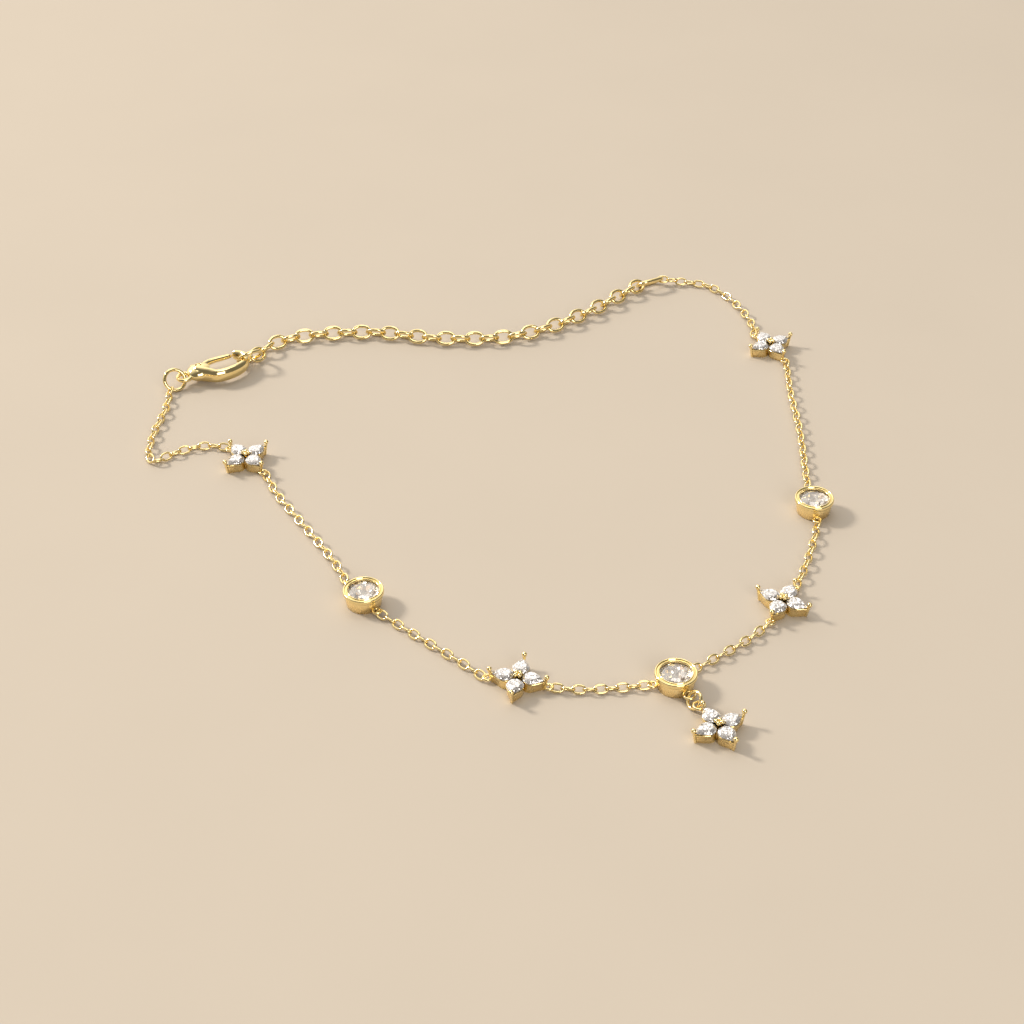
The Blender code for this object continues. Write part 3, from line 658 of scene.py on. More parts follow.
    def finish(
        self, name: str, material: Material, sharp: float | None = 40.0, under: Material | None = None
    ) -> Piece:
        """Turns the shells into an object.

        Args:
            name: The object's name.
            material: Its finish.
            sharp: The angle past which an edge stays sharp, or None for flat facets.
            under: The finish of the faces that look down, where they have their own.

        Returns:
            The object, at the origin.
        """
        looks_down = -0.05
        data = bpy.data.meshes.new(name)
        self.mesh.to_mesh(data)
        self.mesh.free()
        data.materials.append(material)
        if under is not None:
            data.materials.append(under)
            for face in data.polygons:
                face.material_index = int(face.normal.z < looks_down)
        if sharp is not None:
            data.shade_smooth()
            data.set_sharp_from_angle(angle=math.radians(sharp))
        return shown(name, data)


def fit(piece: Piece, body: Body, slot: Slot, *nodes: str) -> None:
    """Sets a finished piece on its body, in place of its CAD nodes, and reports it.

    Args:
        piece: The finished piece.
        body: The body that it rides on.
        slot: Not used.
        *nodes: The CAD nodes that it stands for.
    """
    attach(piece, body.value)
    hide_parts(*nodes)
    LOG.info("%s rides on %s: %d faces", piece.name, body.value, len(piece.data.polygons))


def middle_of(*nodes: str) -> Vector:
    """The mean of the corners of those CAD nodes."""
    corners = [vertex.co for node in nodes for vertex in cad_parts[node].data.vertices]
    return sum(corners, Vector()) / len(corners)


def smooth(points: list[Vector], steps: int = 12) -> list[Vector]:
    """A curve through chosen points.

    Args:
        points: The chosen points.
        steps: Points to each stretch.

    Returns:
        The curve's points.
    """
    guides = [points[0] * 2 - points[1], *points, points[-1] * 2 - points[-2]]
    curve = []
    for a, b, c, d in zip(guides, guides[1:], guides[2:], guides[3:]):
        for step in range(steps):
            t = step / steps
            bend = (a * 2 - b * 5 + c * 4 - d) * t**2 + (b * 3 - a - c * 3 + d) * t**3
            curve.append((b * 2 + (c - a) * t + bend) / 2)
    return [*curve, points[-1]]


def length_of(points: list[Vector]) -> float:
    """The length of a curve given by its points."""
    return sum((after - before).length for before, after in zip(points, points[1:]))


class Hold(NamedTuple):
    """What a chain's end link holds: the middle of a wire, and how thick that wire is."""

    middle: Vector
    wire: float


@dataclass(frozen=True)
class PearOutline:
    """A pear's outline about the middle of its round end, with its tip along +X."""

    radius: float = 0.00092
    shoulder: float = 45.0
    bulge: float = 0.035

    @property
    def tip(self) -> float:
        """The tip's distance, before the bulge."""
        return self.radius / math.cos(math.radians(self.shoulder))

    def reach(self, theta: float, tip: float, inset: float = 0.0) -> float:
        """How far the outline lies from the middle of the round end.

        Args:
            theta: The direction, in radians from the tip.
            tip: The tip's distance, before the bulge and the inset.
            inset: How far the outline is drawn in.

        Returns:
            The distance.
        """
        radius = self.radius - inset
        angle = abs((theta + math.pi) % (2 * math.pi) - math.pi)
        shoulder = math.acos(radius / (tip - inset))
        side = radius / math.cos(max(shoulder - angle, 0.0))
        return side * (1 + self.bulge * math.cos(min(angle / shoulder, 1.0) * math.pi / 2))


def brilliant(outline: list[Vector], centre: Vector, heights: Sequence[float], table: float) -> list[Vector]:
    """The corners of a brilliant cut.

    Args:
        outline: The girdle's corners, an even number, seen from above.
        centre: The middle of the cut, seen from above.
        heights: Those of the table, the girdle's two edges and the culet.
        table: The table's share of the outline.

    Returns:
        The corners, whose convex hull is the stone.
    """
    top, upper, lower, culet = heights
    mains, breaks = outline[::2], outline[1::2]
    spread = math.cos(math.pi / len(mains))
    star = (1 + table) / 2
    star_drop = (star * spread - table) / (1 - table)
    corners = [Vector((centre.x, centre.y, culet))]
    for ring, share, height in (
        (mains, table, top),
        (breaks, star, top - (top - upper) * star_drop * STAR_FLATNESS),
        (outline, 1.0, upper),
        (outline, 1.0, lower),
        (breaks, HALF_REACH, culet + (lower - culet) * HALF_REACH * spread * HALF_DEPTH),
    ):
        for corner in ring:
            flat = centre + (corner - centre) * share
            corners.append(Vector((flat.x, flat.y, height)))
    return corners


@dataclass
class JumpRing:
    """A ring of wire between two pieces, which lies rolled to one side."""

    name: str
    node: str
    heading: float
    roll: float
    radius: float
    wire: float = 0.00045

    def place(self) -> Place:
        """Its placement, from its CAD node."""
        low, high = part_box(self.node)
        return set_down(self.heading, (low + high) / 2, self.roll)

    def hold(self, angle: float) -> Hold:
        """What a chain holds of it, at that angle."""
        return Hold(self.place() @ (level(angle) * self.radius), self.wire)

    def dress(self, gold: Material) -> None:
        """Builds the ring and sets it on the frame.

        Args:
            gold: Its finish.
        """
        shape = Shape()
        shape.wire_ring(self.radius, self.wire, self.place())
        fit(shape.finish(self.name, gold), Body.ANKLET, Slot.GOLD, self.node)


DROP_RING = JumpRing("drop_jump_ring", "drop_ring", DROP_HEADING, 55.0, 0.00088, 0.00035)
DROP_HEIGHT = DROP_RING.radius * math.sin(math.radians(DROP_RING.roll)) + DROP_RING.wire / 2


@dataclass
class Charm:
    """What all charms have: a place, and loops for the chains and for the drop's ring."""

    name: str
    loops: tuple[float, ...]
    drop_loops: tuple[float, ...] = ()
    loop_radius: float = 0.00041
    loop_wire: float = 0.00028
    loop_height: float = 0.000475
    loop_sides: int = 28
    drop_loop_radius: float = 0.00058
    drop_loop_sides: int = 32

    def settle(self, centre: Vector, heading: float, loop_orbit: float, drop_orbit: float) -> None:
        """Sets where the charm is.

        Args:
            centre: Its middle.
            heading: Where its own X points, in degrees.
            loop_orbit: How far from its middle the chains' loops are.
            drop_orbit: How far from its middle the wall is that carries the drop's loop.
        """
        self.centre = Vector((centre.x, centre.y, 0.0))
        self.heading = heading
        self.place = set_down(heading, self.centre)
        self.loop_orbit = loop_orbit
        self.drop_orbit = drop_orbit + self.drop_loop_radius

    def at(self, angle: float, out: float, height: float) -> Vector:
        """The point at that angle, distance and height from the charm's middle."""
        return self.centre + level(self.heading + angle) * out + upright(height)

    def hold(self, end: End) -> Hold:
        """What a chain holds at that end."""
        out = self.loop_orbit + self.loop_radius
        return Hold(self.at(self.loops[end.value], out, self.loop_height), self.loop_wire)

    def add_loops(self, shape: Shape) -> None:
        """Adds the loops to the charm's metal.

        Args:
            shape: The metal so far.
        """
        for angle in self.loops:
            centre = self.at(angle, self.loop_orbit, self.loop_height)
            shape.wire_ring(self.loop_radius, self.loop_wire, set_down(0.0, centre), self.loop_sides)
        for angle in self.drop_loops:
            place = set_down(0.0, self.at(angle, self.drop_orbit, DROP_HEIGHT))
            shape.wire_ring(self.drop_loop_radius, self.loop_wire, place, self.drop_loop_sides)


@dataclass
class Flower(Charm):
    """A flower charm: its gallery, prongs, heart beads and loops, and its pear stones."""

    loops: tuple[float, ...] = (180.0, 0.0)
    petals: int = 4
    outline: PearOutline = PearOutline()
    gallery_height: float = 0.00115
    gallery_wall: float = 0.00022
    gallery_floor: float = 0.0004
    gallery_edge: float = 0.00003
    lip_depth: float = 0.00016
    foot_share: float = 0.90
    tip_length: float = 0.00016
    girdle: float = 0.00006
    crown: float = 0.00032
    pavilion: float = 0.00062
    table: float = 0.64
    stone_corners: int = 20
    tip_growth: float = 0.00009
    prong_radius: float = 0.00017
    prong_bevel: float = 0.8
    prong_ball: float = 0.00028
    ball_start: float = 1.05
    prong_sides: int = 18
    bead_radius: float = 0.00023
    bead_ring: float = 0.00029
    bead_sides: int = 16
    petal_points: int = 41
    petal_sweep: float = 135.0

    def __post_init__(self) -> None:
        """Finds where the CAD's flower is, and how it is turned."""
        stones = [f"{self.name}_stone_{petal + 1}" for petal in range(self.petals)]
        centre = middle_of(*stones)
        toward = middle_of(stones[0]) - centre
        heading = math.degrees(math.atan2(toward.y, toward.x))
        self.orbit = (self.outline.radius + FIT_GAP / 2) / math.sin(math.pi / self.petals)
        stone_tip = self.outline.tip * (1 + self.outline.bulge) + FIT_GAP
        self.gallery_tip = stone_tip + self.tip_length
        self.prong_orbit = self.orbit + stone_tip + self.prong_radius
        self.girdle_height = self.gallery_height + FIT_GAP
        self.above_girdle = self.girdle_height + self.girdle + FIT_GAP
        loop_orbit = self.orbit + self.gallery_tip * self.foot_share + self.loop_radius
        self.settle(centre, heading, loop_orbit, self.prong_orbit)

    def petal_ring(self, outline: Outline) -> list[Vector]:
        """The corners of the gallery's petalled outline at one height.

        Args:
            outline: The outline's share, inset and height.

        Returns:
            The corners.
        """
        corners = []
        for petal in range(self.petals):
            turn = Matrix.Rotation(2 * math.pi * petal / self.petals, 3, "Z")
            for k in range(self.petal_points):
                theta = math.radians(self.petal_sweep * (2 * k / (self.petal_points - 1) - 1))
                reach = self.outline.reach(theta, self.gallery_tip, outline.inset)
                corner = Vector((self.orbit + reach * math.cos(theta), reach * math.sin(theta), 0.0))
                corners.append(turn @ corner * outline.share + upright(outline.height))
        return corners

    def gallery(self) -> list[list[Vector]]:
        """The gallery's rings, from the middle of its back over its top to its floor.

        Returns:
            The rings.
        """
        top = self.gallery_height
        foot = self.foot_share
        wall = self.gallery_wall
        edge = self.gallery_edge
        lip_foot = top - self.lip_depth
        outlines = (
            Outline(foot - 0.02, 0.0, 0.0),
            Outline(foot, 0.0, 4 * HUNDREDTH),
            Outline(foot + 0.02, HUNDREDTH, top * 0.30),
            Outline(foot + 0.05, HUNDREDTH, top * 0.62),
            Outline(0.985, 0.0, lip_foot - 4 * HUNDREDTH),
            Outline(1.0, 0.0, lip_foot),
            Outline(1.0, 0.0, top - edge),
            Outline(1.0, edge, top),
            Outline(1.0, wall - edge, top),
            Outline(1.0, wall, top - edge),
            Outline(foot, wall, self.gallery_floor),
        )
        return [self.petal_ring(outline) for outline in outlines]

    def setting(self, finishes: Finishes) -> Piece:
        """Builds the metal of the flower.

        Args:
            finishes: The anklet's materials.

        Returns:
            The piece.
        """
        shape = Shape()
        shape.loft(self.gallery(), self.place, (Vector(), upright(self.gallery_floor)))
        bead_height = self.above_girdle + self.bead_radius
        for petal in range(self.petals):
            angle = 360.0 * petal / self.petals
            self.prong(shape, self.place @ set_down(angle))
            bead = self.at(angle + 180.0 / self.petals, self.bead_ring, bead_height)
            shape.ball(self.bead_radius, bead, self.bead_sides)
        shape.drum(self.bead_radius, self.gallery_floor, bead_height, self.place, self.bead_sides)
        self.add_loops(shape)
        return shape.finish(f"{self.name}_metal", finishes.polished, 40.0, finishes.cast)

    def prong(self, shape: Shape, place: Place) -> None:
        """One prong: a wire that leans out along a petal's tip and ends in a ball.

        Args:
            shape: The metal so far.
            place: The petal's placement.
        """
        radius = self.prong_radius
        ball = self.prong_ball
        foot = Vector(((self.orbit + self.gallery_tip) * self.foot_share, 0.0, radius))
        top = Vector((self.prong_orbit, 0.0, self.above_girdle + ball))
        length = (top - foot).length
        lean = (top - foot).to_track_quat("Z", "Y").to_matrix().to_4x4()
        bevel = radius * self.prong_bevel
        profile = [(0.0, -radius), (bevel, -bevel), (radius, 0.0), (radius, length - ball * self.ball_start)]
        for turn in PRONG_TURNS:
            out = level(turn) * ball
            profile.append((out.x, length + out.y))
        profile.append((0.0, length + ball))
        shape.turned(profile, self.prong_sides, place @ Matrix.Translation(foot) @ lean)

    def stone(self, petal: int, crystal: Material) -> Piece:
        """Builds one pear stone.

        Args:
            petal: The petal's number, from 0.
            crystal: The stone's finish.

        Returns:
            The piece.
        """
        shape = Shape()
        outline = []
        for k in range(self.stone_corners):
            theta = 2 * math.pi * k / self.stone_corners
            reach = self.outline.reach(theta, self.outline.tip + self.tip_growth)
            outline.append(Vector((self.orbit + reach * math.cos(theta), reach * math.sin(theta), 0.0)))
        upper = self.girdle_height + self.girdle
        heights = (upper + self.crown, upper, self.girdle_height, self.girdle_height - self.pavilion)
        centre = Vector((self.orbit, 0.0, 0.0))
        place = self.place @ set_down(360.0 * petal / self.petals)
        shape.hull(brilliant(outline, centre, heights, self.table), place)
        return shape.finish(f"{self.name}_pear_{petal + 1}", crystal, None)

    def dress(self, finishes: Finishes) -> None:
        """Builds the flower and sets it on the frame.

        Args:
            finishes: The anklet's materials.
        """
        fit(self.setting(finishes), Body.ANKLET, Slot.GOLD, f"{self.name}_setting")
        for petal in range(self.petals):
            node = f"{self.name}_stone_{petal + 1}"
            fit(self.stone(petal, finishes.pear), Body.ANKLET, Slot.CRYSTAL, node)


@dataclass
class Bezel(Charm):
    """A round stone in a turned cup with a folded collar."""

    stone_radius: float = 0.00172
    table_radius: float = 0.00098
    crown: float = 0.00034
    girdle: float = 0.00006
    pavilion: float = 0.00126
    height: float = 0.0020
    radius: float = 0.0022
    groove: float = 0.00016
    taper: float = 0.00022
    collar: float = 0.00052
    floor: float = 0.00018
    floor_radius: float = 0.0004
    bowl: Point = (0.00145, 0.00110)
    seat: float = 0.00150
    lip_overlap: float = 0.00005
    sides: int = 96
    stone_corners: int = 32

    def __post_init__(self) -> None:
        """Finds where the CAD's cup is."""
        self.neck = self.radius - self.groove
        self.foot = self.neck - self.taper
        loop_orbit = self.foot + self.loop_radius + self.loop_wire / 2
        self.settle(middle_of(f"{self.name}_stone"), 0.0, loop_orbit, self.neck)

    def profile(self) -> list[Point]:
        """The cup's section, from the middle of its inside over the collar to its back.

        Returns:
            The section as (radius, height) points.
        """
        top = self.height
        collar_foot = top - self.collar
        pocket = self.stone_radius + FIT_GAP
        lip = self.stone_radius - self.lip_overlap
        girdle_top = top - self.crown
        edges = {
            Edge.LIP: (lip, top),
            Edge.RIM: (self.radius, top),
            Edge.COLLAR: (self.radius, collar_foot),
            Edge.NECK: (self.neck, collar_foot),
            Edge.FOOT: (self.foot, 0.0),
        }
        inside = [
            (0.0, self.floor),
            (self.floor_radius, self.floor),
            self.bowl,
            (pocket, self.seat),
            (pocket, girdle_top + 4 * HUNDREDTH),
            (lip, girdle_top + 10 * HUNDREDTH),
        ]
        outside = []
        for edge, out, up in CUP_TURNS:
            across, height = edges[edge]
            outside.append((across + out * HUNDREDTH, height + up * HUNDREDTH))
        return [*inside, *outside, (0.0, 0.0)]

    def cup(self, finishes: Finishes) -> Piece:
        """Builds the cup and its loops.

        Args:
            finishes: The anklet's materials.

        Returns:
            The piece.
        """
        shape = Shape()
        shape.turned(self.profile(), self.sides, self.place)
        self.add_loops(shape)
        return shape.finish(f"{self.name}_cup", finishes.polished, 50.0, finishes.cast)

    def stone(self, finishes: Finishes) -> Piece:
        """Builds the round brilliant.

        Args:
            finishes: The anklet's materials.

        Returns:
            The piece.
        """
        shape = Shape()
        upper = self.height - self.crown
        lower = upper - self.girdle
        heights = (self.height, upper, lower, lower - self.pavilion)
        outline = circle(self.stone_radius, self.stone_corners)
        corners = brilliant(outline, Vector(), heights, self.table_radius / self.stone_radius)
        shape.hull(corners, set_down(self.loops[End.LEAVES.value], self.centre))
        return shape.finish(f"{self.name}_brilliant", finishes.crown, None, finishes.pavilion)

    def dress(self, finishes: Finishes) -> None:
        """Builds the cup and its stone and sets them on the frame."""
        fit(self.cup(finishes), Body.ANKLET, Slot.GOLD, f"{self.name}_setting")
        fit(self.stone(finishes), Body.ANKLET, Slot.CRYSTAL, f"{self.name}_stone")


@dataclass(frozen=True)
class LinkSort:
    """The sizes of a sort of link, and how its links lie."""

    pitch: float
    width: float
    wire: float
    squareness: float
    wander: float
    corners: int
    wire_corners: int
    play: float = 0.00002
    roll: float = 45.0
    lean: float = 6.0


FINE_LINK = LinkSort(
    pitch=0.00118, width=0.00110, wire=0.00025, squareness=0.35, wander=4.4, corners=20, wire_corners=7
)
LARGE_LINK = LinkSort(
    pitch=0.0018, width=0.0020, wire=0.00043, squareness=0.25, wander=3.0, corners=28, wire_corners=10
)


class LinkTree:
    """The node group that lays links along a path."""

    INPUTS = {
        "NodeSocketGeometry": ("Geometry",),
        "NodeSocketInt": ("Links", "Link Corners", "Wire Corners", "Seed"),
        "NodeSocketFloat": ("Length", "Width", "Wire", "Squareness", "First Roll", "Wander"),
        "NodeSocketMaterial": ("Finish",),
    }

    def __init__(self) -> None:
        """Builds the group, with its sizes as named inputs."""
        self.tree = bpy.data.node_groups.new("links_on_path", "GeometryNodeTree")
        graph = Graph(self.tree)
        for kind, names in self.INPUTS.items():
            for name in names:
                self.tree.interface.new_socket(name, in_out="INPUT", socket_type=kind)
        self.tree.interface.new_socket("Geometry", in_out="OUTPUT", socket_type="NodeSocketGeometry")
        given = graph.add("NodeGroupInput")
        placed = self.along_path(graph, given, self.link(graph, given))
        real = graph.add("GeometryNodeRealizeInstances", {}, {"Geometry": placed})
        values = {"Geometry": real.outputs[0], "Material": given.outputs["Finish"]}
        finished = graph.add("GeometryNodeSetMaterial", {}, values)
        graph.add("NodeGroupOutput", {}, {"Geometry": finished.outputs[0]})

    def ring(self, graph: Graph, corners: Socket, radius: Signal) -> Socket:
        """A level circle as a curve."""
        values = {"Resolution": corners, "Radius": radius}
        return graph.add("GeometryNodeCurvePrimitiveCircle", {"mode": "RADIUS"}, values).outputs[0]

    def link(self, graph: Graph, given: Node) -> Socket:
        """One link, flat and along X: an oval whose sides are drawn straight by its squareness.

        Args:
            graph: The tree.
            given: Its inputs.

        Returns:
            The link's geometry.
        """
        wire = graph.signal(given, "Wire")
        width = graph.signal(given, "Width")
        square = graph.signal(given, "Squareness")
        round_end = (width - wire) * 0.5
        ring = self.ring(graph, given.outputs["Link Corners"], round_end)
        position = graph.add("GeometryNodeInputPosition").outputs[0]
        along = graph.signal(graph.add("ShaderNodeSeparateXYZ", {}, {0: position}), "X")
        stretch = (graph.signal(given, "Length") - width) * 0.5
        shift = stretch * (along.sign() * square + along / round_end * (1 - square))
        offset = graph.add("ShaderNodeCombineXYZ", {}, {"X": shift}).outputs[0]
        drawn = graph.add("GeometryNodeSetPosition", {}, {"Geometry": ring, "Offset": offset})
        section = self.ring(graph, given.outputs["Wire Corners"], wire * 0.5)
        values = {"Curve": drawn.outputs[0], "Profile Curve": section}
        return graph.add("GeometryNodeCurveToMesh", {}, values).outputs[0]

    def along_path(self, graph: Graph, given: Node, link: Socket) -> Socket:
        """Links on the path, each turned a quarter from the last, with a little wander.

        Args:
            graph: The tree.
            given: Its inputs.
            link: The link's geometry.

        Returns:
            The instances.
        """
        links = graph.signal(given, "Links")
        path = graph.add("GeometryNodeMeshToCurve", {}, {0: given.outputs["Geometry"]})
        values = {"Curve": path.outputs[0], "Count": links * 2.0 + 1.0}
        marks = graph.add("GeometryNodeResampleCurve", {}, values)
        # Every second mark is the middle of a link. The end links don't wander at all.
        index = graph.signal(graph.add("GeometryNodeInputIndex"))
        number = (index - 1.0) * 0.5
        inside = (number * 0.5).clamped() * ((links - 1.0 - number) * 0.5).clamped()
        values = {2: -1.0, 3: 1.0, "ID": index, "Seed": given.outputs["Seed"]}
        drawn = graph.add("FunctionNodeRandomValue", {"data_type": "FLOAT"}, values)
        wander = graph.signal(drawn, 1) * graph.signal(given, "Wander") * inside
        roll = (number % 2.0) * 90.0 + graph.signal(given, "First Roll") + wander
        tangent = graph.add("GeometryNodeInputTangent").outputs[0]
        axes = {"axis": "X", "pivot_axis": "Z"}
        level_turn = graph.add("FunctionNodeAlignRotationToVector", axes, {"Vector": tangent})
        values = {"Axis": (1.0, 0.0, 0.0), "Angle": roll * math.radians(1.0)}
        rolled = graph.add("FunctionNodeAxisAngleToRotation", {}, values)
        values = {0: level_turn.outputs[0], 1: rolled.outputs[0]}
        turn = graph.add("FunctionNodeRotateRotation", {"rotation_space": "LOCAL"}, values)
        values = {"Points": marks.outputs[0], "Instance": link, "Rotation": turn.outputs[0]}
        values["Selection"] = index % 2.0
        return graph.add("GeometryNodeInstanceOnPoints", {}, values).outputs[0]

    def run(
        self,
        name: str,
        path: list[Vector],
        sort: LinkSort,
        links: int,
        first_roll: float,
        gold: Material,
        seed: int,
    ) -> Piece:
        """A mesh of links on a path.

        Args:
            name: The piece's name.
            path: The middle line's points.
            sort: The sort of link.
            links: How many.
            first_roll: The first link's roll, in degrees.
            gold: Their finish.
            seed: The seed of their wander.

        Returns:
            The piece.
        """
        values = {
            "Links": links,
            "Length": length_of(path) / links + 2 * sort.wire - sort.play,
            "Width": sort.width,
            "Wire": sort.wire,
            "Squareness": sort.squareness,
            "First Roll": first_roll,
            "Wander": sort.wander,
            "Link Corners": sort.corners,
            "Wire Corners": sort.wire_corners,
            "Seed": seed,
            "Finish": gold,
        }
        line = bpy.data.meshes.new(f"{name}_path")
        line.from_pydata(path, [(k, k + 1) for k in range(len(path) - 1)], [])
        guide = shown(f"{name}_path", line)
        modifier = guide.modifiers.new("links", "NODES")
        modifier.node_group = self.tree
        for item in self.tree.interface.items_tree:
            if item.in_out == "INPUT" and item.name in values:
                modifier[item.identifier] = values[item.name]
        data = mesh_now(guide)
        bpy.data.objects.remove(guide)
        data.name = name
        data.shade_smooth()
        return shown(name, data)


@dataclass
class FineChain:
    """The fine chain: oval links from loop to loop, lying on the surface."""

    tree: LinkTree
    sort: LinkSort = FINE_LINK
    height: float = 0.000475
    settle: float = 0.0045

    def ease(self, gone: float) -> float:
        """How much of an end's height is left at that distance from it."""
        return 0.5 + 0.5 * math.cos(math.pi * min(gone / self.settle, 1.0))

    def laid(self, near: Hold, points: tuple[Point, ...], far: Hold) -> list[Vector]:
        """The middle line of a run, which settles on the surface from the height of its ends.

        Args:
            near: What the first link holds.
            points: What the run passes between.
            far: What the last link holds.

        Returns:
            The line's points.
        """
        path = smooth([near.middle, *(over(point, 0.0) for point in points), far.middle])
        total = sum((after - before).xy.length for before, after in zip(path, path[1:]))
        rise = near.middle.z - self.height
        fall = far.middle.z - self.height
        gone = 0.0
        line = []
        for before, here in zip([path[0], *path], path):
            gone += (here - before).xy.length
            height = self.height + rise * self.ease(gone) + fall * self.ease(total - gone)
            line.append(Vector((here.x, here.y, height)))
        line[0] += (line[0] - line[1]).normalized() * (near.wire / 2 + self.sort.play)
        line[-1] += (line[-1] - line[-2]).normalized() * (far.wire / 2 + self.sort.play)
        return line

    def dress(
        self, number: int, near: Hold, points: tuple[Point, ...], far: Hold, last: bool, gold: Material
    ) -> None:
        """Builds one run and sets it on the frame.

        Args:
            number: The run's number.
            near: What the first link holds.
            points: What the run passes between.
            far: What the last link holds.
            last: Whether it is the last run. There the last link's roll is given, and elsewhere
                the first one's.
            gold: Its finish.
        """
        line = self.laid(near, points, far)
        links = round(length_of(line) / self.sort.pitch)
        roll = self.sort.roll - math.copysign(self.sort.lean, far.middle.x - near.middle.x)
        if last:
            roll += 90.0 * (links % 2)
        piece = self.tree.run(f"fine_links_{number}", line, self.sort, links, roll, gold, number)
        fit(piece, Body.ANKLET, Slot.GOLD, f"chain_{number}")
        LOG.info("run %d: %d links of %.2f mm", number, links, length_of(line) / links * 1000)


@dataclass
class Extender:
    """The extender chain of larger links, and the oval ring at its end."""

    tree: LinkTree
    sort: LinkSort = LARGE_LINK
    ring_length: float = 0.0040
    ring_width: float = 0.0025
    ring_wire: float = 0.00055
    ring_roll: float = 40.0
    ring_heading: float = 207.0
    ring_sides: int = 44

    def __post_init__(self) -> None:
        """Finds where the CAD's oval ring is."""
        low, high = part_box("connector_ring")
        self.ring_middle = (low + high) / 2
        self.ring_reach = level(self.ring_heading) * ((self.ring_length - self.ring_wire) / 2)

    def chain_hold(self) -> Hold:
        """What the fine chain's last link holds."""
        return Hold(self.ring_middle - self.ring_reach, self.ring_wire)

    def dress(self, points: tuple[Point, ...], far: Hold, gold: Material) -> None:
        """Builds the chain and the ring and sets them on the frame.

        Args:
            points: What the chain passes between its ends.
            far: What its last link holds.
            gold: Their finish.
        """
        shape = Shape()
        place = set_down(self.ring_heading, self.ring_middle, self.ring_roll)
        stretch = (self.ring_length - self.ring_width) / 2
        radius = (self.ring_width - self.ring_wire) / 2
        shape.wire_ring(radius, self.ring_wire, place, self.ring_sides, stretch)
        fit(shape.finish("oval_connector", gold), Body.ANKLET, Slot.GOLD, "connector_ring")
        sort = self.sort
        steepest = math.radians(sort.roll + sort.lean + sort.wander)
        height = (sort.width - sort.wire) / 2 * math.sin(steepest) + sort.wire / 2
        near = self.ring_middle + self.ring_reach
        ends = [Vector((end.x, end.y, height)) for end in (near, far.middle)]
        curve = smooth([ends[0], *(over(point, height) for point in points), ends[1]])
        grip = sort.wire / 2 + FIT_GAP
        first = curve[0] + (curve[0] - curve[1]).normalized() * (self.ring_wire / 2 + grip)
        last = curve[-1] + (curve[-1] - curve[-2]).normalized() * (far.wire / 2 + grip)
        curve = [first, *curve, last]
        links = 2 * round((length_of(curve) / sort.pitch - 1) / 2) + 1
        piece = self.tree.run("extender_links", curve, sort, links, sort.lean - sort.roll, gold, 0)
        fit(piece, Body.ANKLET, Slot.GOLD, "extender_chain")


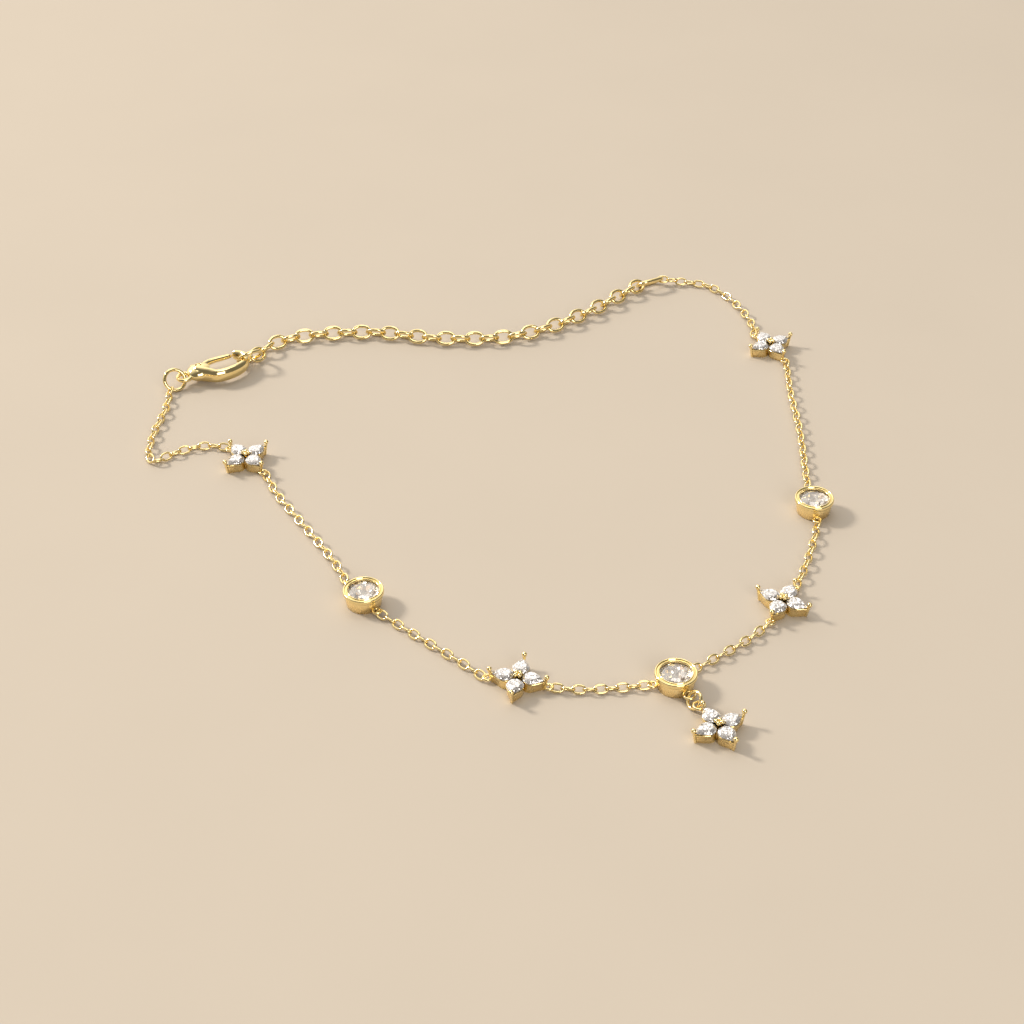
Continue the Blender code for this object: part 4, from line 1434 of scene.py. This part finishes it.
@dataclass
class Clasp:
    """The lobster clasp: its claw, its lever and pin, and the rings at its ends."""

    heading: float = 30.0
    span: float = 0.0087
    spine: float = 0.00195
    wire: float = 0.00112
    thickness: float = 0.00175
    bulb: tuple[float, float, float] = (0.0034, 0.0028, 0.0019)
    bulb_offset: float = 0.00018
    claw_bar: float = 0.00048
    tip_setback: float = 0.0006
    tip_drop: float = 0.0001
    tip_thick: float = 0.74
    pivot: Point = (0.0021, 0.00045)
    pin_radius: float = 0.0003
    pin_gap: float = 0.00008
    pin_bevel: float = 0.0001
    pin_crown: float = 0.00003
    pin_top: float = 0.8
    lever_root: float = 0.00078
    lever_thickness: float = 0.00095
    lever_arm: float = 0.0008
    lever_width: float = 0.00078
    lever_reach: float = 0.00675
    lever_offset: float = 0.00165
    nub_radius: float = 0.00041
    nub_back: float = 0.00039
    nub_out: float = 0.00101
    neck_width: float = 0.00058
    neck_start: float = 0.3
    eye_radius: float = 0.00082
    eye_wire: float = 0.0005
    tail_radius: float = 0.00128
    end_radius: float = 0.0015
    ring_roll: float = 52.0
    tail_hook_angle: float = -132.0
    end_hook_angle: float = 42.0

    def __post_init__(self) -> None:
        """Finds where the CAD's clasp is, from its pin."""
        across = Vector((*self.pivot, 0.0))
        eye = middle_of("clasp_pin") - set_down(self.heading) @ across
        self.place = set_down(self.heading, eye)
        self.pivot_place = self.place @ Matrix.Translation(across)
        heading, roll = self.heading, self.ring_roll
        self.tail = JumpRing("tail_jump_ring", "clasp_tail_ring", heading, roll, self.tail_radius)
        self.end = JumpRing("end_jump_ring", "clasp_end_ring", heading, -roll, self.end_radius)

    def tail_hold(self) -> Hold:
        """What the fine chain's first link holds."""
        return self.tail.hold(self.tail_hook_angle)

    def end_hold(self) -> Hold:
        """What the extender's last link holds."""
        return self.end.hold(self.end_hook_angle)

    def pin_hole(self, half: float) -> Shape:
        """The hole that the pin goes through.

        Args:
            half: Its reach above and below the pin's middle.

        Returns:
            The hole.
        """
        hole = Shape()
        hole.drum(self.pin_radius + self.pin_gap, -half, half, self.pivot_place, sides=32)
        return hole

    def bent_bar(self, chosen: list[Vector], height: float, width: float) -> Shape:
        """A bar through chosen points, each given as (x, y, its share of half the width).

        Args:
            chosen: The points.
            height: The bar's height.
            width: Its width.

        Returns:
            The bar.
        """
        line = smooth(chosen, 6)
        bar = Shape()
        middles = [Vector((point.x, point.y, 0.0)) for point in line]
        bar.bar(middles, [point.z * width / 2 for point in line], self.place, height / width)
        return bar

    def cast(self, name: str, gold: Material, pieces: list[Shape], cuts: list[Shape]) -> Piece:
        """A cast piece: shells fused together, slots cut, and every edge softened.

        Args:
            name: The piece's name.
            gold: Its finish.
            pieces: Shapes to fuse, the first being the body.
            cuts: Shapes to cut away.

        Returns:
            The piece.
        """
        made = [shape.finish(f"{name}_{k}", gold) for k, shape in enumerate([*pieces, *cuts])]
        body = made[0]
        for k, other in enumerate(made[1:], 1):
            step = body.modifiers.new(f"step_{k}", "BOOLEAN")
            step.operation = "UNION" if k < len(pieces) else "DIFFERENCE"
            step.solver = "EXACT"
            step.object = other
        body.modifiers.new("skin", "REMESH").voxel_size = CAST_GRAIN
        soften = body.modifiers.new("soften", "SMOOTH")
        soften.factor = 0.5
        soften.iterations = CAST_SOFTNESS
        data = mesh_now(body)
        for other in made:
            bpy.data.objects.remove(other)
        data.name = name
        data.materials.clear()
        data.materials.append(gold)
        data.shade_smooth()
        return shown(name, data)

    def body(self, gold: Material) -> Piece:
        """Builds the claw with its bulb, slot and eye.

        Args:
            gold: Its finish.

        Returns:
            The piece.
        """
        x = self.pivot[0]
        length = self.span - self.claw_bar - FIT_GAP - x
        chosen = [
            Vector((x + along * length, -across * self.spine, thick))
            for along, across, thick in CLAW_SECTIONS
        ]
        tip = (self.lever_reach + FIT_GAP + self.tip_setback, self.lever_offset - self.tip_drop)
        chosen.append(Vector((*tip, self.tip_thick)))
        spine = self.bent_bar(chosen, self.thickness, self.wire)
        bulb = Shape()
        middle = Matrix.Translation((x, self.bulb_offset, 0.0))
        matrix = self.place @ middle @ Matrix.Diagonal((*self.bulb, 1.0))
        bmesh.ops.create_uvsphere(bulb.mesh, u_segments=40, v_segments=24, radius=0.5, matrix=matrix)
        eye = Shape()
        eye.wire_ring(self.eye_radius, self.eye_wire, self.place)
        cuts = [self.slot(), self.pin_hole(self.thickness)]
        return self.cast("clasp_claw", gold, [bulb, spine, eye], cuts)

    def slot(self) -> Shape:
        """The slot that the lever moves in.

        Returns:
            The slot.
        """
        x, y = self.pivot
        clear = self.lever_root + FIT_GAP * 2
        length = self.lever_reach - x
        width = self.spine * 2
        middle = Matrix.Translation((x - clear + length / 2, y - clear + width / 2, 0.0))
        size = Matrix.Diagonal((length, width, self.lever_thickness + FIT_GAP * 2, 1.0))
        slot = Shape()
        bmesh.ops.create_cube(slot.mesh, size=1.0, matrix=self.place @ middle @ size)
        return slot

    def lever(self, gold: Material) -> Piece:
        """Builds the lever with its thumb nub.

        Args:
            gold: Its finish.

        Returns:
            The piece.
        """
        x, y = self.pivot
        length = self.lever_reach - x
        depth = self.lever_offset - y
        chosen = [
            Vector((x + along * length, y + across * depth, thick))
            for along, across, thick in LEVER_SECTIONS
        ]
        arm = self.bent_bar(chosen, self.lever_arm, self.lever_width)
        root = Shape()
        top = self.lever_thickness / 2
        root.drum(self.lever_root, -top, top, self.pivot_place, sides=40)
        nub_middle = Vector((x - self.nub_back, y + self.nub_out, 0.0))
        nub = Shape()
        nub.ball(self.nub_radius, self.place @ nub_middle, sides=20)
        neck = Shape()
        neck_foot = Vector((x, y, 0.0)).lerp(nub_middle, self.neck_start)
        neck.bar([neck_foot, nub_middle], [self.neck_width / 2] * 2, self.place)
        return self.cast("clasp_trigger", gold, [root, arm, neck, nub], [self.pin_hole(self.lever_width)])

    def pin(self, gold: Material) -> Piece:
        """Builds the pin with its low crowned heads.

        Args:
            gold: Its finish.

        Returns:
            The piece.
        """
        half = self.thickness / 2
        radius = self.pin_radius
        crown = (radius * self.pin_top, half - self.pin_crown)
        side = (radius, half - self.pin_bevel)
        upper = [side, crown, (0.0, half)]
        lower = [(across, -height) for across, height in reversed(upper)]
        shape = Shape()
        shape.turned([*lower, *upper], sides=24, place=self.pivot_place)
        return shape.finish("clasp_rivet", gold)

    def dress(self, gold: Material) -> None:
        """Builds the clasp and its rings and sets them on the frame.

        Args:
            gold: Its finish.
        """
        fit(self.body(gold), Body.ANKLET, Slot.GOLD, "clasp_body")
        fit(self.lever(gold), Body.LEVER, Slot.GOLD, "clasp_lever")
        fit(self.pin(gold), Body.ANKLET, Slot.GOLD, "clasp_pin")
        self.tail.dress(gold)
        self.end.dress(gold)


@dataclass
class Studio:
    """The plain pale floor, the soft light and the camera at the photograph's angle."""

    target: tuple[float, float, float] = (0.0034, -0.00575, 0.0)
    distance: float = 0.2296
    elevation: float = 37.0
    lens: float = 71.3
    floor_size: float = 16.0
    air: Colour = (1.0, 0.96, 0.91)
    air_bright: float = 1.9
    air_dim: float = 0.18
    window: tuple[float, float, float] = (-0.45, 0.70, 0.40)
    sun: Colour = (1.0, 0.92, 0.81)

    def lamps(self) -> tuple[Lamp, ...]:
        """The lights: the window's, one overhead and a faint one in front.

        Returns:
            The lights.
        """
        return (
            Lamp("key", (-0.80, 0.35, 0.64), 0.18, 10.2, self.sun),
            Lamp("top", (0.05, 0.12, 0.60), 0.34, 0.78, self.air),
            Lamp("fill", (0.25, -0.60, 0.40), 0.40, 2.4, self.air),
        )

    def camera(self) -> None:
        """Sets up the camera."""
        data = bpy.data.cameras.new("camera")
        data.lens = self.lens
        data.sensor_width = 36.0
        data.clip_start = 0.005
        data.clip_end = 20.0
        camera = shown("camera", data)
        tilt = math.radians(self.elevation)
        back = Vector((0.0, -math.cos(tilt), math.sin(tilt)))
        camera.location = Vector(self.target) + back * self.distance
        camera.rotation_euler = (-back).to_track_quat("-Z", "Y").to_euler()
        bpy.context.scene.camera = camera

    def floor(self) -> None:
        """Lays the floor."""
        mesh = bmesh.new()
        bmesh.ops.create_grid(mesh, x_segments=1, y_segments=1, size=self.floor_size / 2)
        data = bpy.data.meshes.new("floor")
        mesh.to_mesh(data)
        mesh.free()
        data.materials.append(PaperFinish("floor_paper").make())
        floor = shown("floor", data)

    def light(self, lamp: Lamp) -> None:
        """Hangs a light so that it faces the anklet.

        Args:
            lamp: The light's place, size, power and colour.
        """
        data = bpy.data.lights.new(lamp.name, "AREA")
        data.size = lamp.size
        data.energy = lamp.power
        data.color = lamp.colour
        hung = shown(lamp.name, data)
        hung.location = lamp.place
        facing = Vector(self.target) - Vector(lamp.place)
        hung.rotation_euler = facing.to_track_quat("-Z", "Y").to_euler()

    def surround(self) -> None:
        """Sets up the air: bright towards the window at the back left, and dim elsewhere."""
        world = bpy.data.worlds.new("studio_air")
        world.use_nodes = True
        graph = Graph(world.node_tree)
        direction = graph.add("ShaderNodeTexCoord").outputs["Generated"]
        parts = graph.add("ShaderNodeSeparateXYZ", {}, {0: direction})
        x, y, z = (graph.signal(parts, axis) * share for axis, share in zip("XYZ", self.window))
        window = (x + y + z).clamped()
        values = {"Color": (*self.air, 1.0), "Strength": window * window * self.air_bright + self.air_dim}
        air = graph.add("ShaderNodeBackground", {}, values)
        graph.add("ShaderNodeOutputWorld", {}, {"Surface": air.outputs[0]})
        bpy.context.scene.world = world

    def build(self) -> None:
        """Builds all of the studio."""
        self.floor()
        self.camera()
        for lamp in self.lamps():
            self.light(lamp)
        self.surround()
        bpy.context.scene.view_settings.view_transform = "Standard"


def main() -> None:
    """Builds the anklet's charms, its clasp and its chains, and the studio."""
    logging.basicConfig(level=logging.INFO, format="%(name)s: %(message)s")
    Studio().build()
    finishes = Finishes()
    gold = finishes.polished
    flowers = [Flower(f"flower_{number}") for number in (1, 2, 3, 4)]
    bezels = [
        Bezel("bezel_1", (129.0, -51.0)),
        Bezel("bezel_2", (186.0, 46.0), (DROP_HEADING,)),
        Bezel("bezel_3", (-86.0, 94.0)),
    ]
    for charm in [*flowers, *bezels, Flower("drop", (), (180.0,))]:
        charm.dress(finishes)
    DROP_RING.dress(gold)
    clasp = Clasp()
    clasp.dress(gold)
    tree = LinkTree()
    extender = Extender(tree)
    extender.dress(EXTENDER_RUN, clasp.end_hold(), gold)
    charms = [flowers[0], bezels[0], flowers[1], bezels[1], flowers[2], bezels[2], flowers[3]]
    nears = [clasp.tail_hold(), *(charm.hold(End.LEAVES) for charm in charms)]
    fars = [*(charm.hold(End.ARRIVES) for charm in charms), extender.chain_hold()]
    chain = FineChain(tree)
    for number, (near, points, far) in enumerate(zip(nears, FINE_RUNS, fars), 1):
        chain.dress(number, near, points, far, number == len(FINE_RUNS), gold)


if __name__ == "__main__":
    main()
